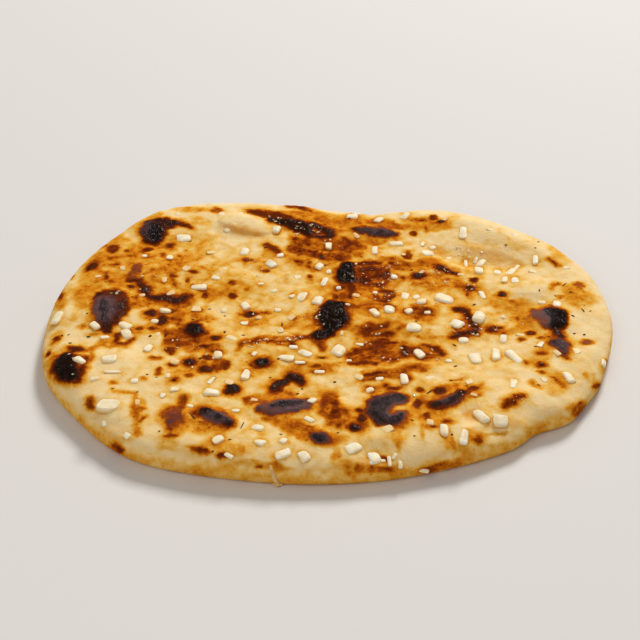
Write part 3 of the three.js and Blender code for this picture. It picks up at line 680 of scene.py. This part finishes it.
def breadPoints(cube):
    # a point of the box goes to its angle, its share of the way out and its height round the edge
    s = breadShape
    a, b, level = cube.T
    wide = np.abs(a) >= np.abs(b)
    with np.errstate(divide="ignore", invalid="ignore"):
        angle = np.where(wide, math.pi / 4 * b / a, math.pi / 2 - math.pi / 4 * a / b)
    angle = np.nan_to_num(angle)
    angle = np.where(wide & (a < 0) | ~wide & (b < 0), angle + math.pi, angle)
    share = np.maximum(np.abs(a), np.abs(b))
    ringsUp = (level + 1) / 2 * s["edgeRings"] - s["underRings"]
    above = ringsUp >= 0
    roll = np.where(above, s["topRoll"], s["underRoll"])
    turn = math.pi / 2 * np.where(above, ringsUp / (s["edgeRings"] - s["underRings"]),
                                  -ringsUp / s["underRings"])
    power = 2 / s["squareness"]
    outward = np.clip(np.cos(turn), 0, 1) ** power
    upward = np.clip(np.sin(turn), 0, 1) ** power
    reach = (radiusAt(angle) - roll) * share + roll * outward
    x, y = reach * np.cos(angle), reach * np.sin(angle)
    limit = np.where(above, topHeight(x, y), -s["spareBelow"])
    z = s["widest"] + (limit - s["widest"]) * upward
    return np.stack([x, y, np.maximum(z, 0)], 1)


crustRelief = {
    "flap": (-37, 68, 16, 7.5, -20),    # a peeled flap: x, y, half length, half width, turn
    "flapRise": 0.9,
    "flapEdge": 0.16,                   # share of its width in which it rises
    "flapSlant": 0.36,                  # how far its fold runs back for each mm to the left
    "waves": ((9, 0.55), (4.2, 0.3)),   # mm between bumps, mm high
    "crackle": (2.4, 0.5),              # the same for charred crust
    "charred": (0.75, 1.0),             # baked levels between which char sets in
    "charSwell": 0.5,                   # mm that char stands up
    "from": 5,                          # mm up, where the relief begins
    "over": 5,                          # mm in which it comes in
}


def roughened(points, baked):
    r = crustRelief
    lift = layered(points, r["waves"], 11)[:, 2]
    flapX, flapY, _, flapWidth, _ = r["flap"]
    x, y = points[:, 0], points[:, 1]
    behind = eased(1 - (y - flapY - r["flapSlant"] * (flapX - x)) / (2 * flapWidth))
    lift += r["flapRise"] * behind * eased((1 - ovalDistance(x, y, r["flap"])) / r["flapEdge"])
    low, high = r["charred"]
    scale, rise = r["crackle"]
    lift += eased((baked - low) / (high - low)) * (r["charSwell"] + wander(points, scale, 13)[:, 2] * rise)
    raised = points.copy()
    raised[:, 2] += lift * eased((points[:, 2] - r["from"]) / r["over"])
    return raised


def laidOn(spots):
    # places on the crust, the way it faces there and how far it is baked
    spots = np.array(spots)
    ground = np.column_stack([spots, surfaceHeight(*spots.T)])
    baked = bakedField(ground)
    step, stiffness = 0.6, 1.6   # mm to the heights compared, and how much less a piece leans than the crust
    right = surfaceHeight(spots[:, 0] + step, spots[:, 1])
    back = surfaceHeight(spots[:, 0], spots[:, 1] + step)
    facing = [Vector((g - r, g - b, step * stiffness)).normalized()
              for g, r, b in zip(ground[:, 2], right, back)]
    return [Vector(p) for p in roughened(ground, baked)], facing, baked


def setDown(bm, verts, place, facing, turn, height, sunk, form):
    # shapes a piece by form, turns it, stands it up on the crust and sinks it by a share of its height
    spin = Matrix.Rotation(turn, 4, "Z")
    stand = Vector((0, 0, 1)).rotation_difference(facing).to_matrix().to_4x4()
    lift = Matrix.Translation(place + facing * height * (0.5 - sunk))
    bmesh.ops.transform(bm, matrix=Matrix.Scale(mm, 4) @ lift @ stand @ spin @ form, verts=verts)


def finished(bm, name, material):
    for face in bm.faces:
        face.smooth = True
    mesh = bpy.data.meshes.new(name)
    bm.to_mesh(mesh)
    bm.free()
    piece = bpy.data.objects.new(name, mesh)
    bpy.context.collection.objects.link(piece)
    mesh.materials.append(material)
    return piece


def makeBread():
    # an open box with a grid on its faces, laid out over the form of the bread and closed below
    s = breadShape
    bm = bmesh.new()
    bmesh.ops.create_cube(bm, size=2)
    bm.normal_update()
    bmesh.ops.delete(bm, geom=[f for f in bm.faces if f.normal.z < -0.5], context="FACES_ONLY")
    standing = [e for e in bm.edges if abs(e.verts[0].co.z - e.verts[1].co.z) > 1]
    bmesh.ops.subdivide_edges(bm, edges=standing, cuts=s["edgeRings"] - 1, use_grid_fill=True)
    lying = [e for e in bm.edges if abs(e.verts[0].co.z - e.verts[1].co.z) < 1e-4]
    bmesh.ops.subdivide_edges(bm, edges=lying, cuts=s["topCells"] - 1, use_grid_fill=True)
    points = breadPoints(np.array([v.co for v in bm.verts]))
    baked = bakedField(points)
    seenX, seenY = sightPlace(*points.T)
    fields = {"baked": baked, "butter": zoneField(seenX, seenY, butterPools),
              "hollow": zoneField(seenX, seenY, deepHollows), "ashenSheen": zoneField(seenX, seenY, ashenSheenPlaces)}
    for vert, point in zip(bm.verts, roughened(points, baked)):
        vert.co = Vector(point) * mm
    under = [e for e in bm.edges if e.is_boundary]
    for edge in under:
        edge.smooth = False
    bmesh.ops.holes_fill(bm, edges=under, sides=0)
    for name, values in fields.items():
        layer = bm.verts.layers.float.new(name)
        for vert, value in zip(bm.verts, values):
            vert[layer] = value
    return finished(bm, "bread", crustMaterial())


# colours by how far a place is baked, up to the darkest level; char under ashes has its own, lighter in part
# as painted sheen
crustColours = [
    (0.00, (248, 221, 168)), (0.12, (246, 212, 151)), (0.22, (240, 194, 108)), (0.32, (230, 168, 62)),
    (0.42, (221, 143, 32)), (0.53, (198, 109, 18)), (0.64, (154, 70, 11)), (0.75, (117, 46, 12)),
    (0.85, (94, 36, 12)), (0.94, (70, 31, 16)), (1.03, (50, 27, 19)), (1.14, (29, 19, 16)),
]
ashenSheenColours = [
    (0.60, (156, 92, 56)), (0.74, (130, 88, 76)), (0.84, (114, 88, 90)), (0.94, (100, 80, 84)),
    (1.04, (76, 62, 65)), (1.14, (46, 40, 43)),
]
darkest = 1.2

crustLook = {
    # patterns: mm across a patch, detail, roughness, then how drawn out along x, y, z and turned
    "broad": (16, 3, 0.5),
    "medium": (4.5, 7, 0.6),
    "fine": (1.2, 4, 0.6),
    "streaks": (2.2, 3, 0.6, (4, 1, 1), 8),
    "wrinkles": (0.9, 3, 0.6, (1, 4, 1), 8),
    # how much the level varies with each
    "varies": {"broad": 0.12, "medium": 0.58, "fine": 0.3, "streaks": 0.5, "wrinkles": 0.35},
    "livelyPale": (0.08, 0.4, 0.3, 1.0),     # how much of that is left on pale dough: levels, then shares
    "livelyChar": (0.85, 1.05, 1.0, 0.5),    # the same for char
    # how high each stands, in mm
    "relief": {"medium": 1.4, "fine": 0.3, "wrinkles": 0.5, "beads": 0.25},
    "charred": (0.78, 0.98),                 # levels between which char sets in
    "freckles": ((2.4, 0.13), (5.5, 0.17)),  # mm between them, how much darker they are
    "frecklesWide": 4,                       # spacings across the places where they gather
    "frecklesGather": (0.42, 0.6),
    "frecklesShow": (0.08, 0.36, 0.1, 1.0),
    "underneath": 0.6,                       # mm up, where the underside's own browning has ended
    "underSpots": (14, 4, 0.6),
    "underBaked": (0.5, 0.66, 0.3, 0.85),
    "bloomAndSheen": (0.5, 0.85),                    # levels over which the ashen bloom and painted sheen come in
    # tint for the hollows: partly soaked butter, partly painted shade
    "soakedShade": (242, 204, 130),
    "soakedShadeMost": 0.9,
    "buttered": (255, 240, 205),
    "butterGathers": (0.4, 0.6),
    "roughness": (0.3, 0.7, 0.5, 0.68),      # levels of the medium pattern, then how rough
    "beads": 1.7,                            # mm between the beads of butter that glint
    "glints": (0.46, 0.56),
    "charWet": 0.4,
    "charSheen": (0.48, 0.64, 0.0, 0.3),
}


def crustMaterial():
    s, high = crustLook, crustLook["relief"]
    material, shader = newMaterial("bakedCrust")
    patterns = {name: grain(*s[name]) for name in s["varies"]}
    varied = {name: centred(patterns[name], amount) for name, amount in s["varies"].items()}
    medium, streaks, wrinkles = patterns["medium"], patterns["streaks"], patterns["wrinkles"]
    baked, butter, hollow, ashenSheen = (attribute(name) for name in ("baked", "butter", "hollow", "ashenSheen"))
    charred = between(baked, *s["charred"])
    liveliness = times(between(baked, *s["livelyPale"]), between(baked, *s["livelyChar"]))
    stray = plus(plus(varied["medium"], varied["fine"]), times(varied["streaks"], butter))
    stray = plus(times(stray, liveliness), varied["broad"])
    stray = plus(stray, times(varied["wrinkles"], charred))
    for spacing, darker in s["freckles"]:
        gathered = between(grain(s["frecklesWide"] * spacing, 2, 0.5), *s["frecklesGather"], 0.0, darker)
        stray = plus(stray, times(freckles(spacing), times(gathered, between(baked, *s["frecklesShow"]))))
    under = between(heightAbove(), 0.0, s["underneath"] * mm, 1.0, 0.0)
    spots = between(grain(*s["underSpots"]), *s["underBaked"])
    level = plus(blendValue(under, baked, spots), stray)
    # the ashen bloom on char: partly real ash, partly painted sheen
    bloomAndSheen = times(ashenSheen, between(level, *s["bloomAndSheen"]))
    colour = blend(bloomAndSheen, *(colourScale(level, stops, darkest) for stops in (crustColours, ashenSheenColours)))
    # hollows take a darker, warmer tint: soaked butter and painted shade
    for share, tint in ((times(hollow, s["soakedShadeMost"]), "soakedShade"),
                        (times(butter, between(medium, *s["butterGathers"])), "buttered")):
        colour = blend(share, colour, blend(1.0, colour, linear(*s[tint]), "MULTIPLY"))
    normal = bump(medium, high["medium"], 0.5)
    normal = bump(patterns["fine"], high["fine"], 0.5, normal)
    normal = bump(wrinkles, high["wrinkles"], charred, normal)
    beads = freckles(s["beads"])
    wet = calculate("MAXIMUM", butter, times(charred, s["charWet"]))
    glints = times(times(wet, between(streaks, *s["glints"])), beads)
    sheen = times(charred, between(wrinkles, *s["charSheen"]))
    fill(shader, {
        "Base Color": colour,
        "Roughness": between(medium, *s["roughness"]),
        "Specular IOR Level": 0.0,
        "Subsurface Weight": 0.25,
        "Subsurface Radius": (1.0, 0.5, 0.22),
        "Subsurface Scale": 0.0025,
        "Normal": normal,
        "Coat Weight": calculate("MAXIMUM", glints, sheen),
        "Coat Roughness": 0.15,
        "Coat Normal": bump(beads, high["beads"], 1.0, normal),
    })
    return material


bread = makeBread()
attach(bread, "root")
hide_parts("naan")
print("bread:", len(bread.data.polygons), "faces")

# Garlic

garlicChop = {
    # the strewn ones, by the same rule as in the solid, in millimetres
    "spacing": 15,
    "jitter": 0.6,
    "fromRim": 12,
    "fromLarge": 8,
    "fromFine": 6,
    "length": (3, 5),
    "width": (0.6, 0.85),           # share of the length
    "upBlister": 0.3,               # none lies further up a blister than this
    "upBaked": 0.62,                # nor on dough baked further than this
    "spentDraws": 12,               # the solid's piece draws once for each of its corners
    "strewn": (0.55, 0.5),          # share of the paleness and height: they are soaked and hardly stand out
    # each piece, in shares of its width
    "height": 0.36,
    "inset": 0.13,                  # how far in the top's edges lie
    "uneven": (0.17, 0.14, 0.06),   # how far a corner strays
    "cornered": 0.27,               # how far its upright edges are rounded off
    "rounded": 0.13,                # the same for the edges of its top
    "highest": 1.6,                 # mm
    "sunk": (0.42, 0.6),            # share of the height
    "softened": 0.3,
    "tilt": 6,                      # degrees to either side
    "paleness": (0.85, 1.0),
    "paleSides": (2.4, 0.55),       # how fast its sides pale upwards and how pale they are half way
    "toasted": 0.5,                 # the furthest baked colour that its foot takes on
    "seed": 20,
}


def seededDraw(seed):
    # the solid's own chance numbers, so that its small pieces are met
    state = [seed]

    def draw():
        state[0] = state[0] * 16807 % 2147483647
        return state[0] / 2147483647
    return draw


def strewnGarlic():
    # one to a cell
    s = garlicChop
    draw = seededDraw(s["seed"])
    reach = math.ceil(max(max(point) for point in rim) / s["spacing"])
    rows = []
    for row in range(-reach, reach + 1):
        for column in range(-reach, reach + 1):
            half = math.fmod(row, 2) / 2
            x = s["spacing"] * (column + half + s["jitter"] * (draw() - 0.5))
            y = s["spacing"] * (row + s["jitter"] * (draw() - 0.5))
            length = s["length"][0] + (s["length"][1] - s["length"][0]) * draw()
            width = length * (s["width"][0] + (s["width"][1] - s["width"][0]) * draw())
            turn = 180 * draw()
            inside = radiusAt(math.atan2(y, x)) - math.hypot(x, y) > s["fromRim"]
            clear = all(math.hypot(x - other[0], y - other[1]) > s["fromLarge"] for other in largeGarlic)
            blistered = any(mound(x, y, blister) > s["upBlister"] for blister in blisters)
            if inside and clear and not blistered:
                rows.append((x, y, length, width, turn))
                for _ in range(s["spentDraws"]):
                    draw()
    return rows


def allGarlic():
    s = garlicChop
    fine = [surfacePlace(*row[:2]) + row[2:] for row in fineGarlic]
    strewn = strewnGarlic()
    levels = laidOn([row[:2] for row in strewn])[2]
    kept = [row for row, baked in zip(strewn, levels) if baked < s["upBaked"] and
            all(math.hypot(row[0] - other[0], row[1] - other[1]) > s["fromFine"] for other in fine)]
    return largeGarlic + fine + kept


def chopped(bm, rng, size):
    # one knife-cut block, narrower at the top, its corners and then its top rounded off
    s = garlicChop
    width = size.y

    def bevelled(edges, offset, segments):
        made = bmesh.ops.bevel(bm, geom=list(edges), offset=offset * width, segments=segments, profile=0.5,
                               affect="EDGES", clamp_overlap=True, material=-1)
        return {v for f in made["faces"] for v in f.verts}

    block = bmesh.ops.create_cube(bm, size=1, matrix=Matrix.Diagonal(size.to_4d()))["verts"]
    for vert in block:
        if vert.co.z > 0:
            vert.co.xy -= Vector([math.copysign(s["inset"] * width, c) for c in vert.co.xy])
        vert.co += Vector([rng.uniform(-1, 1) * most * width for most in s["uneven"]])
    corners = {e for v in block for e in v.link_edges if e.other_vert(v).co.z * v.co.z < 0}
    verts = bevelled(corners, s["cornered"], 3)
    below = {v for v in verts if v.co.z < 0}
    top = {e for v in verts - below for e in v.link_edges if e.other_vert(v) not in below}
    verts = list(below | bevelled(top, s["rounded"], 2))
    bmesh.ops.smooth_vert(bm, verts=verts, factor=s["softened"], use_axis_x=True, use_axis_y=True,
                          use_axis_z=True)
    return verts


def makeGarlic():
    s = garlicChop
    rng = random.Random(s["seed"])
    bm = bmesh.new()
    rows = allGarlic()
    strewnFrom = len(largeGarlic) + len(fineGarlic)
    steep, middle = s["paleSides"]
    pale, baked = (bm.verts.layers.float.new(name) for name in ("pale", "baked"))
    for index, (row, place, facing, level) in enumerate(zip(rows, *laidOn([row[:2] for row in rows]))):
        paleness = rng.uniform(*s["paleness"])
        length, width, turn = row[2:]
        height = min(s["height"] * width, s["highest"])
        if index >= strewnFrom:
            paleness, height = paleness * s["strewn"][0], height * s["strewn"][1]
        verts = chopped(bm, rng, Vector((length, width, height)))
        for vert in verts:
            vert[pale] = paleness * eased(vert.co.z / height * steep + middle)
            vert[baked] = level
        tilt = Matrix.Rotation(math.radians(rng.uniform(-s["tilt"], s["tilt"])), 4, "Y")
        setDown(bm, verts, place, facing, math.radians(turn), height, rng.uniform(*s["sunk"]), tilt)
    print("garlic:", len(rows), "pieces,", len(bm.faces), "faces")
    return finished(bm, "garlic", garlicMaterial())


def garlicMaterial():
    # soft pale garlic that takes on the crust's colour where it sinks in
    material, shader = newMaterial("softGarlic")
    flesh = colourScale(grain(3, 4), [(0.35, (246, 223, 178)), (0.5, (254, 239, 208)),
                                      (0.65, (255, 249, 230))])
    pale, baked = attribute("pale"), attribute("baked")
    toasted = times(calculate("MINIMUM", baked, garlicChop["toasted"]), between(pale, 0.0, 1.0, 1.0, 0.3))
    around = colourScale(toasted, crustColours, darkest)
    fill(shader, {
        "Base Color": blend(calculate("POWER", pale, 1.5), around, flesh),
        "Roughness": 0.4,
        "Specular IOR Level": 0.1,
        "Subsurface Weight": 0.3,
        "Subsurface Radius": (1.0, 0.95, 0.9),
        "Subsurface Scale": 0.0006,
        "Normal": bump(grain(1.1, 4), 0.25, 0.6),
    })
    return material


garlic = makeGarlic()
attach(garlic, "root")
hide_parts("naan")

# Butter

# rows of droplets where the photo glistens: x, y, half length, half width, turn, droplets
dropletPatches = [
    (-4.8, 1, 1.2, 6, 0, 22), (-20, -19, 13, 2.2, 8, 60), (-33, -22, 4, 3, 0, 14),
    (-14, -17, 4, 1.6, 20, 16), (26, 26, 5, 13, 0, 60), (15, 28, 5, 11, 0, 26), (30, 39, 3, 3, 0, 8),
    (24, 13, 6, 4, 0, 26), (8, 29, 1.4, 6, 0, 12), (48, 27, 14, 6, -8, 60), (62, 19, 3, 4, 0, 16),
    (53, 33, 4, 3, 0, 10), (61, -12, 3.5, 4, 0, 26), (64, -17, 3, 2.5, 0, 16), (70, -11.5, 3, 1.6, 0, 10),
    (45, -33, 3.5, 2, 0, 14), (40, -28, 4, 5, 0, 12), (-14, 66, 3, 5, 0, 24), (-6, 66, 3, 4, 0, 20),
    (-24, 74, 6, 3, -20, 20), (-36, 41, 5, 3, 0, 18), (-29, 33, 3, 2, 0, 8), (-33.5, -1, 2, 3, 0, 10),
    (-24, 27, 14, 8, 0, 26), (-14, 22, 8, 10, 0, 20), (-10, -6, 9, 6, 0, 16), (14, -21, 4, 1.5, -15, 10),
    (31, -27, 1.6, 4, 0, 12), (24, -32, 5, 2, 10, 12), (19, -12, 5, 4, 0, 10), (-60, -22, 10, 7, 0, 22),
    (-54, -33, 8, 5, 0, 14), (66, 40, 4, 8, 0, 16), (59, 45, 2, 6, 0, 14), (48, 50, 5, 4, 0, 8),
    (74, -58, 3, 2, 40, 6), (50, -57, 4, 2, 40, 8), (35, -58, 6, 5, 0, 8), (-44, 0, 10, 10, 0, 14),
    (44, 8, 14, 6, 0, 12), (80, 0, 8, 8, 0, 12), (57, -8, 6, 8, 0, 14), (-88, 20, 12, 10, 0, 16),
    (-70, 28, 12, 8, 0, 14), (-106, -36, 3, 8, 10, 8), (4, 55, 8, 6, 0, 12),
]

dropletForm = {
    "kept": 0.5,           # share of the droplets above
    "width": (0.4, 1.5),   # mm, most are near the least
    "length": (1, 1.9),    # share of the width, as is the height
    "height": 0.4,
    "sunk": 0.25,          # share of the height
    "seed": 33,
}


def makeDroplets():
    s = dropletForm
    rng = random.Random(s["seed"])
    spots = []
    for x, y, along, across, turn, count in dropletPatches:
        for _ in range(round(count * s["kept"])):
            reach, around = math.sqrt(rng.random()), rng.uniform(0, 2 * math.pi)
            offset = Matrix.Rotation(math.radians(turn), 2) @ Vector((along * reach * math.cos(around),
                                                                      across * reach * math.sin(around)))
            spots.append(surfacePlace(x + offset.x, y + offset.y))
    bm = bmesh.new()
    baked = bm.verts.layers.float.new("baked")
    least, most = s["width"]
    for place, facing, level in zip(*laidOn(spots)):
        width = least + (most - least) * rng.random() ** 3
        length = width * rng.uniform(*s["length"])
        height = s["height"] * width
        verts = bmesh.ops.create_icosphere(bm, subdivisions=1, radius=0.5)["verts"]
        for vert in verts:
            vert[baked] = level
        setDown(bm, verts, place, facing, rng.uniform(0, math.pi), height, s["sunk"],
                Matrix.Diagonal((length, width, height, 1)))
    print("butter droplets:", len(spots))
    return finished(bm, "butterDroplets", butterMaterial())


def butterMaterial():
    # a droplet over the crust's colour, lightened to cream as butter foam and as a painted glint
    material, shader = newMaterial("meltedButter")
    colour = colourScale(attribute("baked"), crustColours, darkest)
    # cream share: partly butter foam, partly painted glint
    foamAndGlint = between(grain(2.5, 2, 0.5), 0.4, 0.6, 0.3, 0.95)
    fill(shader, {"Base Color": blend(foamAndGlint, colour, linear(255, 232, 184)), "Roughness": 0.1,
                  "Specular IOR Level": 0.8})
    return material


droplets = makeDroplets()
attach(droplets, "root")

# Strand of dough that ran down the front edge

strandForm = {
    # x and height along its run, and how wide it is there
    "run": [(-22.8, 11), (-22.6, 9.4), (-22.2, 7.8), (-21.6, 6.2), (-21, 4.6), (-20.6, 3), (-20.3, 1.4)],
    "width": (0.3, 1.2, 1.7, 1.9, 1.9, 1.8, 2.3),
    "flatness": 0.75,
    "sides": 10,
    "blobs": [(-20.2, 1.25, 2.4), (-18.7, 0.8, 1.4), (-21.5, 0.65, 1.2)],   # x, height, width at its foot
    "blobsOut": 0.3,           # share of a blob's width by which it stands out of the edge
    "foremost": -96,           # y that nothing of it passes, so that it stays on the bread
    "search": (60, 100, 0.05),   # mm forward between which the bread's edge is found, and how finely
}


def frontAt(x, height):
    # how far forward the bread's edge reaches at a height
    n, low = breadShape["squareness"], breadShape["widest"]
    forward = -np.arange(*strandForm["search"])
    inside = np.hypot(x, forward) < radiusAt(np.arctan2(forward, x))
    if height > low:
        return forward[inside & (surfaceHeight(np.full_like(forward, x), forward) > height)].min()
    down = (low - height) / (low + breadShape["spareBelow"])
    return forward[inside].min() + breadShape["underRoll"] * (1 - (1 - down**n) ** (1 / n))


def makeStrand():
    # a ring drawn out along the run, with blobs of dough at its foot
    s = strandForm
    bm = bmesh.new()
    places = [Vector((x, frontAt(x, height), height)) for x, height in s["run"]]
    flat = Matrix.Diagonal((1, s["flatness"], 1, 1))
    ring = bmesh.ops.create_circle(bm, segments=s["sides"], radius=s["width"][0] / 2, cap_ends=True,
                                   matrix=Matrix.Translation(places[0]) @ flat)["verts"]
    edges = list({e for v in ring for e in v.link_edges})
    for before, after, (thin, thick) in zip(places, places[1:], zip(s["width"], s["width"][1:])):
        grown = bmesh.ops.extrude_edge_only(bm, edges=edges)["geom"]
        ring = [v for v in grown if isinstance(v, bmesh.types.BMVert)]
        edges = [e for e in grown if isinstance(e, bmesh.types.BMEdge) and all(v in ring for v in e.verts)]
        bmesh.ops.translate(bm, verts=ring, vec=after - before)
        bmesh.ops.scale(bm, verts=ring, vec=Vector.Fill(3, thick / thin), space=Matrix.Translation(-after))
    bmesh.ops.holes_fill(bm, edges=edges, sides=0)
    for x, height, width in s["blobs"]:
        y = max(frontAt(x, height) - s["blobsOut"] * width, s["foremost"] + width / 2)
        place = Vector((x, y, height))
        bmesh.ops.create_icosphere(bm, subdivisions=2, radius=width / 2, matrix=Matrix.Translation(place))
    for vert in bm.verts:
        vert.co.y = max(vert.co.y, s["foremost"])
    bmesh.ops.recalc_face_normals(bm, faces=bm.faces)
    bmesh.ops.scale(bm, verts=bm.verts, vec=Vector.Fill(3, mm))
    return finished(bm, "strand", strandMaterial())


def strandMaterial():
    material, shader = newMaterial("driedDough")
    fill(shader, {
        "Base Color": colourScale(grain(1.5), [(0.35, (222, 176, 106)), (0.65, (242, 208, 148))]),
        "Roughness": 0.5,
        "Normal": bump(grain(0.6), 0.15),
    })
    return material


strand = makeStrand()
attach(strand, "root")
print("strand set")

# Burnt crumbs

# where they are seen: x, y, length, width, turn, or x, y alone for a plain one
crumbPlaces = [
    (-112, -16, 1.4, 1.1, 0), (-109.5, -15, 1.2, 1, 40), (-101, -16.5, 1.6, 1.2, 20),
    (-108, -21, 1.3, 1, 0), (-75, -16.5, 1.4, 1.2, 0), (-51.5, 3, 1.5, 1.2, 30), (-44.5, -2, 1.2, 1, 0),
    (-44, -13.5, 1.5, 1.3, 60), (-85.5, 12), (-103.5, 0, 1.4, 1.1, 30), (-58, -4.5, 1.4, 1.2, 0),
    (-68.5, -16, 3.6, 1.2, 110), (-58, -18.5), (-53, -32, 1.4, 1.2, 0), (-28.5, 51, 1.6, 1.2, 50),
    (10, 75.5, 1.4, 1.2, 0), (39, 73.5, 1.3, 1, 0), (33, 33), (37, 33), (-1.5, 36.5, 1.4, 1.1, 0),
    (94, 50, 1.3, 1, 0), (96, 55, 1.2, 1, 0), (81, 53), (92, 17, 1.5, 1.1, 60), (103.5, 21.5, 3.4, 1.1, 60),
    (105.5, 15.5, 1.4, 1.1, 0), (98.5, 13), (109, 2, 2.6, 1.1, 75), (110, 6, 1.3, 1, 0),
    (112, 1.5, 1.2, 1, 0), (104, -2, 1.4, 1.1, 0), (103, -14.5), (107, -15.5, 1.4, 1.1, 0), (92, -17),
    (85.5, -23.5, 1.4, 1.1, 0), (52, -22.5, 1.4, 1.2, 0), (62.5, 6), (97, -28, 1.2, 1, 0), (51.5, -36.5),
    (37, -6, 1.4, 1.1, 0), (-3, -31.5, 3.4, 0.9, 10), (-20, -8, 4, 1.1, 80), (-36, -15.5, 1.4, 1.1, 0),
    (-21, -32), (-24, -19, 1.4, 1.1, 0), (-71, 43, 1.5, 1.1, 40), (-63, 36, 1.4, 1.1, 0), (-24, -44),
    (-13, -54.5), (-11, -51.5, 1.2, 1, 0), (-34, -74, 3.6, 0.9, 80), (-38.5, -82, 1.4, 1.1, 0), (-19, -79),
    (3, -78, 1.4, 1.1, 0), (32, -71), (32.5, -80, 1.3, 1, 0), (2, -47), (40, -53, 3.4, 0.9, 75),
    (-87, -51, 1.3, 1, 0), (-77, -53, 1.3, 1, 0), (-44.5, -91, 1.2, 1, 0), (-50.5, -72, 1.2, 1, 0),
    (-54, -68, 3.4, 1.1, 100), (-66, -77.5, 1.2, 1, 0), (-74, -42, 1.2, 1, 0), (-70, -44, 1.2, 1, 0),
    (-47, -44, 1.4, 1.1, 0), (47, -79), (55, -49.5, 1.2, 1, 0), (49, -46, 1.2, 1, 0),
    (84, -48.5, 1.3, 1, 0), (-98.3, 23, 1.2, 1.4, 0),
]

crumbForm = {
    "plain": (1.3, 1.1, 0),    # length, width, turn
    "length": (0.8, 1.7),      # what chance does to these: shares of the row's own, and degrees more
    "width": (0.55, 1.0),
    "turn": (-40, 40),
    "uneven": (0.75, 1.1),
    "height": 0.5,             # share of the width
    "sunk": 0.25,              # share of the height
    "seed": 7,
}


def makeCrumbs():
    s = crumbForm
    rng = random.Random(s["seed"])
    bm = bmesh.new()
    spots = [surfacePlace(*row[:2]) for row in crumbPlaces]
    for row, place, facing in zip(crumbPlaces, *laidOn(spots)[:2]):
        verts = bmesh.ops.create_icosphere(bm, subdivisions=1, radius=0.5)["verts"]
        for vert in verts:
            vert.co *= rng.uniform(*s["uneven"])
        length, width, turn = row[2:] or s["plain"]
        length, width = length * rng.uniform(*s["length"]), width * rng.uniform(*s["width"])
        height = s["height"] * width
        setDown(bm, verts, place, facing, math.radians(turn + rng.uniform(*s["turn"])), height, s["sunk"],
                Matrix.Diagonal((length, width, height, 1)))
    print("crumbs:", len(spots))
    return finished(bm, "crumbs", crumbMaterial())


def crumbMaterial():
    material, shader = newMaterial("burntCrumb")
    fill(shader, {
        "Base Color": colourScale(grain(2.5, 2, 0.5), [(0.35, (60, 31, 16)), (0.5, (96, 50, 22)),
                                                       (0.65, (136, 74, 30))]),
        "Roughness": 0.6,
        "Specular IOR Level": 0.1,
        "Normal": bump(grain(0.5), 0.12),
    })
    return material


crumbs = makeCrumbs()
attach(crumbs, "root")

# Floor and light

studio = {
    # in metres, as the lights are
    "floorSize": 3.0,
    "floorTone": (226, 224, 222),
    "floorRoughness": 0.8,
    "key": {"from": (0.75, 1.9, 1.75), "size": 0.7, "power": 60, "tone": (1.0, 0.98, 0.95)},
    "front": {"from": (-0.4, -0.9, 0.9), "size": 1.0, "power": 5.0, "tone": (1.0, 0.96, 0.9)},
    "sky": 0.26,
    "skyTone": (1.0, 0.95, 0.87),
}


def makeFloor():
    bm = bmesh.new()
    bmesh.ops.create_grid(bm, x_segments=1, y_segments=1, size=studio["floorSize"] / 2)
    material, shader = newMaterial("paleFloor")
    fill(shader, {"Base Color": linear(*studio["floorTone"]), "Roughness": studio["floorRoughness"]})
    finished(bm, "floor", material)


def makeLight(name):
    settings = studio[name]
    data = bpy.data.lights.new(name, "AREA")
    data.size = settings["size"]
    data.energy = settings["power"]
    data.color = settings["tone"]
    light = bpy.data.objects.new(name, data)
    light.location = settings["from"]
    light.rotation_euler = (-Vector(settings["from"])).to_track_quat("-Z", "Y").to_euler()
    bpy.context.collection.objects.link(light)


makeFloor()
makeLight("key")
makeLight("front")
world = bpy.data.worlds.new("studio")
world.use_nodes = True
fill(world.node_tree.nodes["Background"], {"Color": studio["skyTone"] + (1,), "Strength": studio["sky"]})
bpy.context.scene.world = world
bpy.context.scene.view_settings.view_transform = "Standard"
print("stage set")
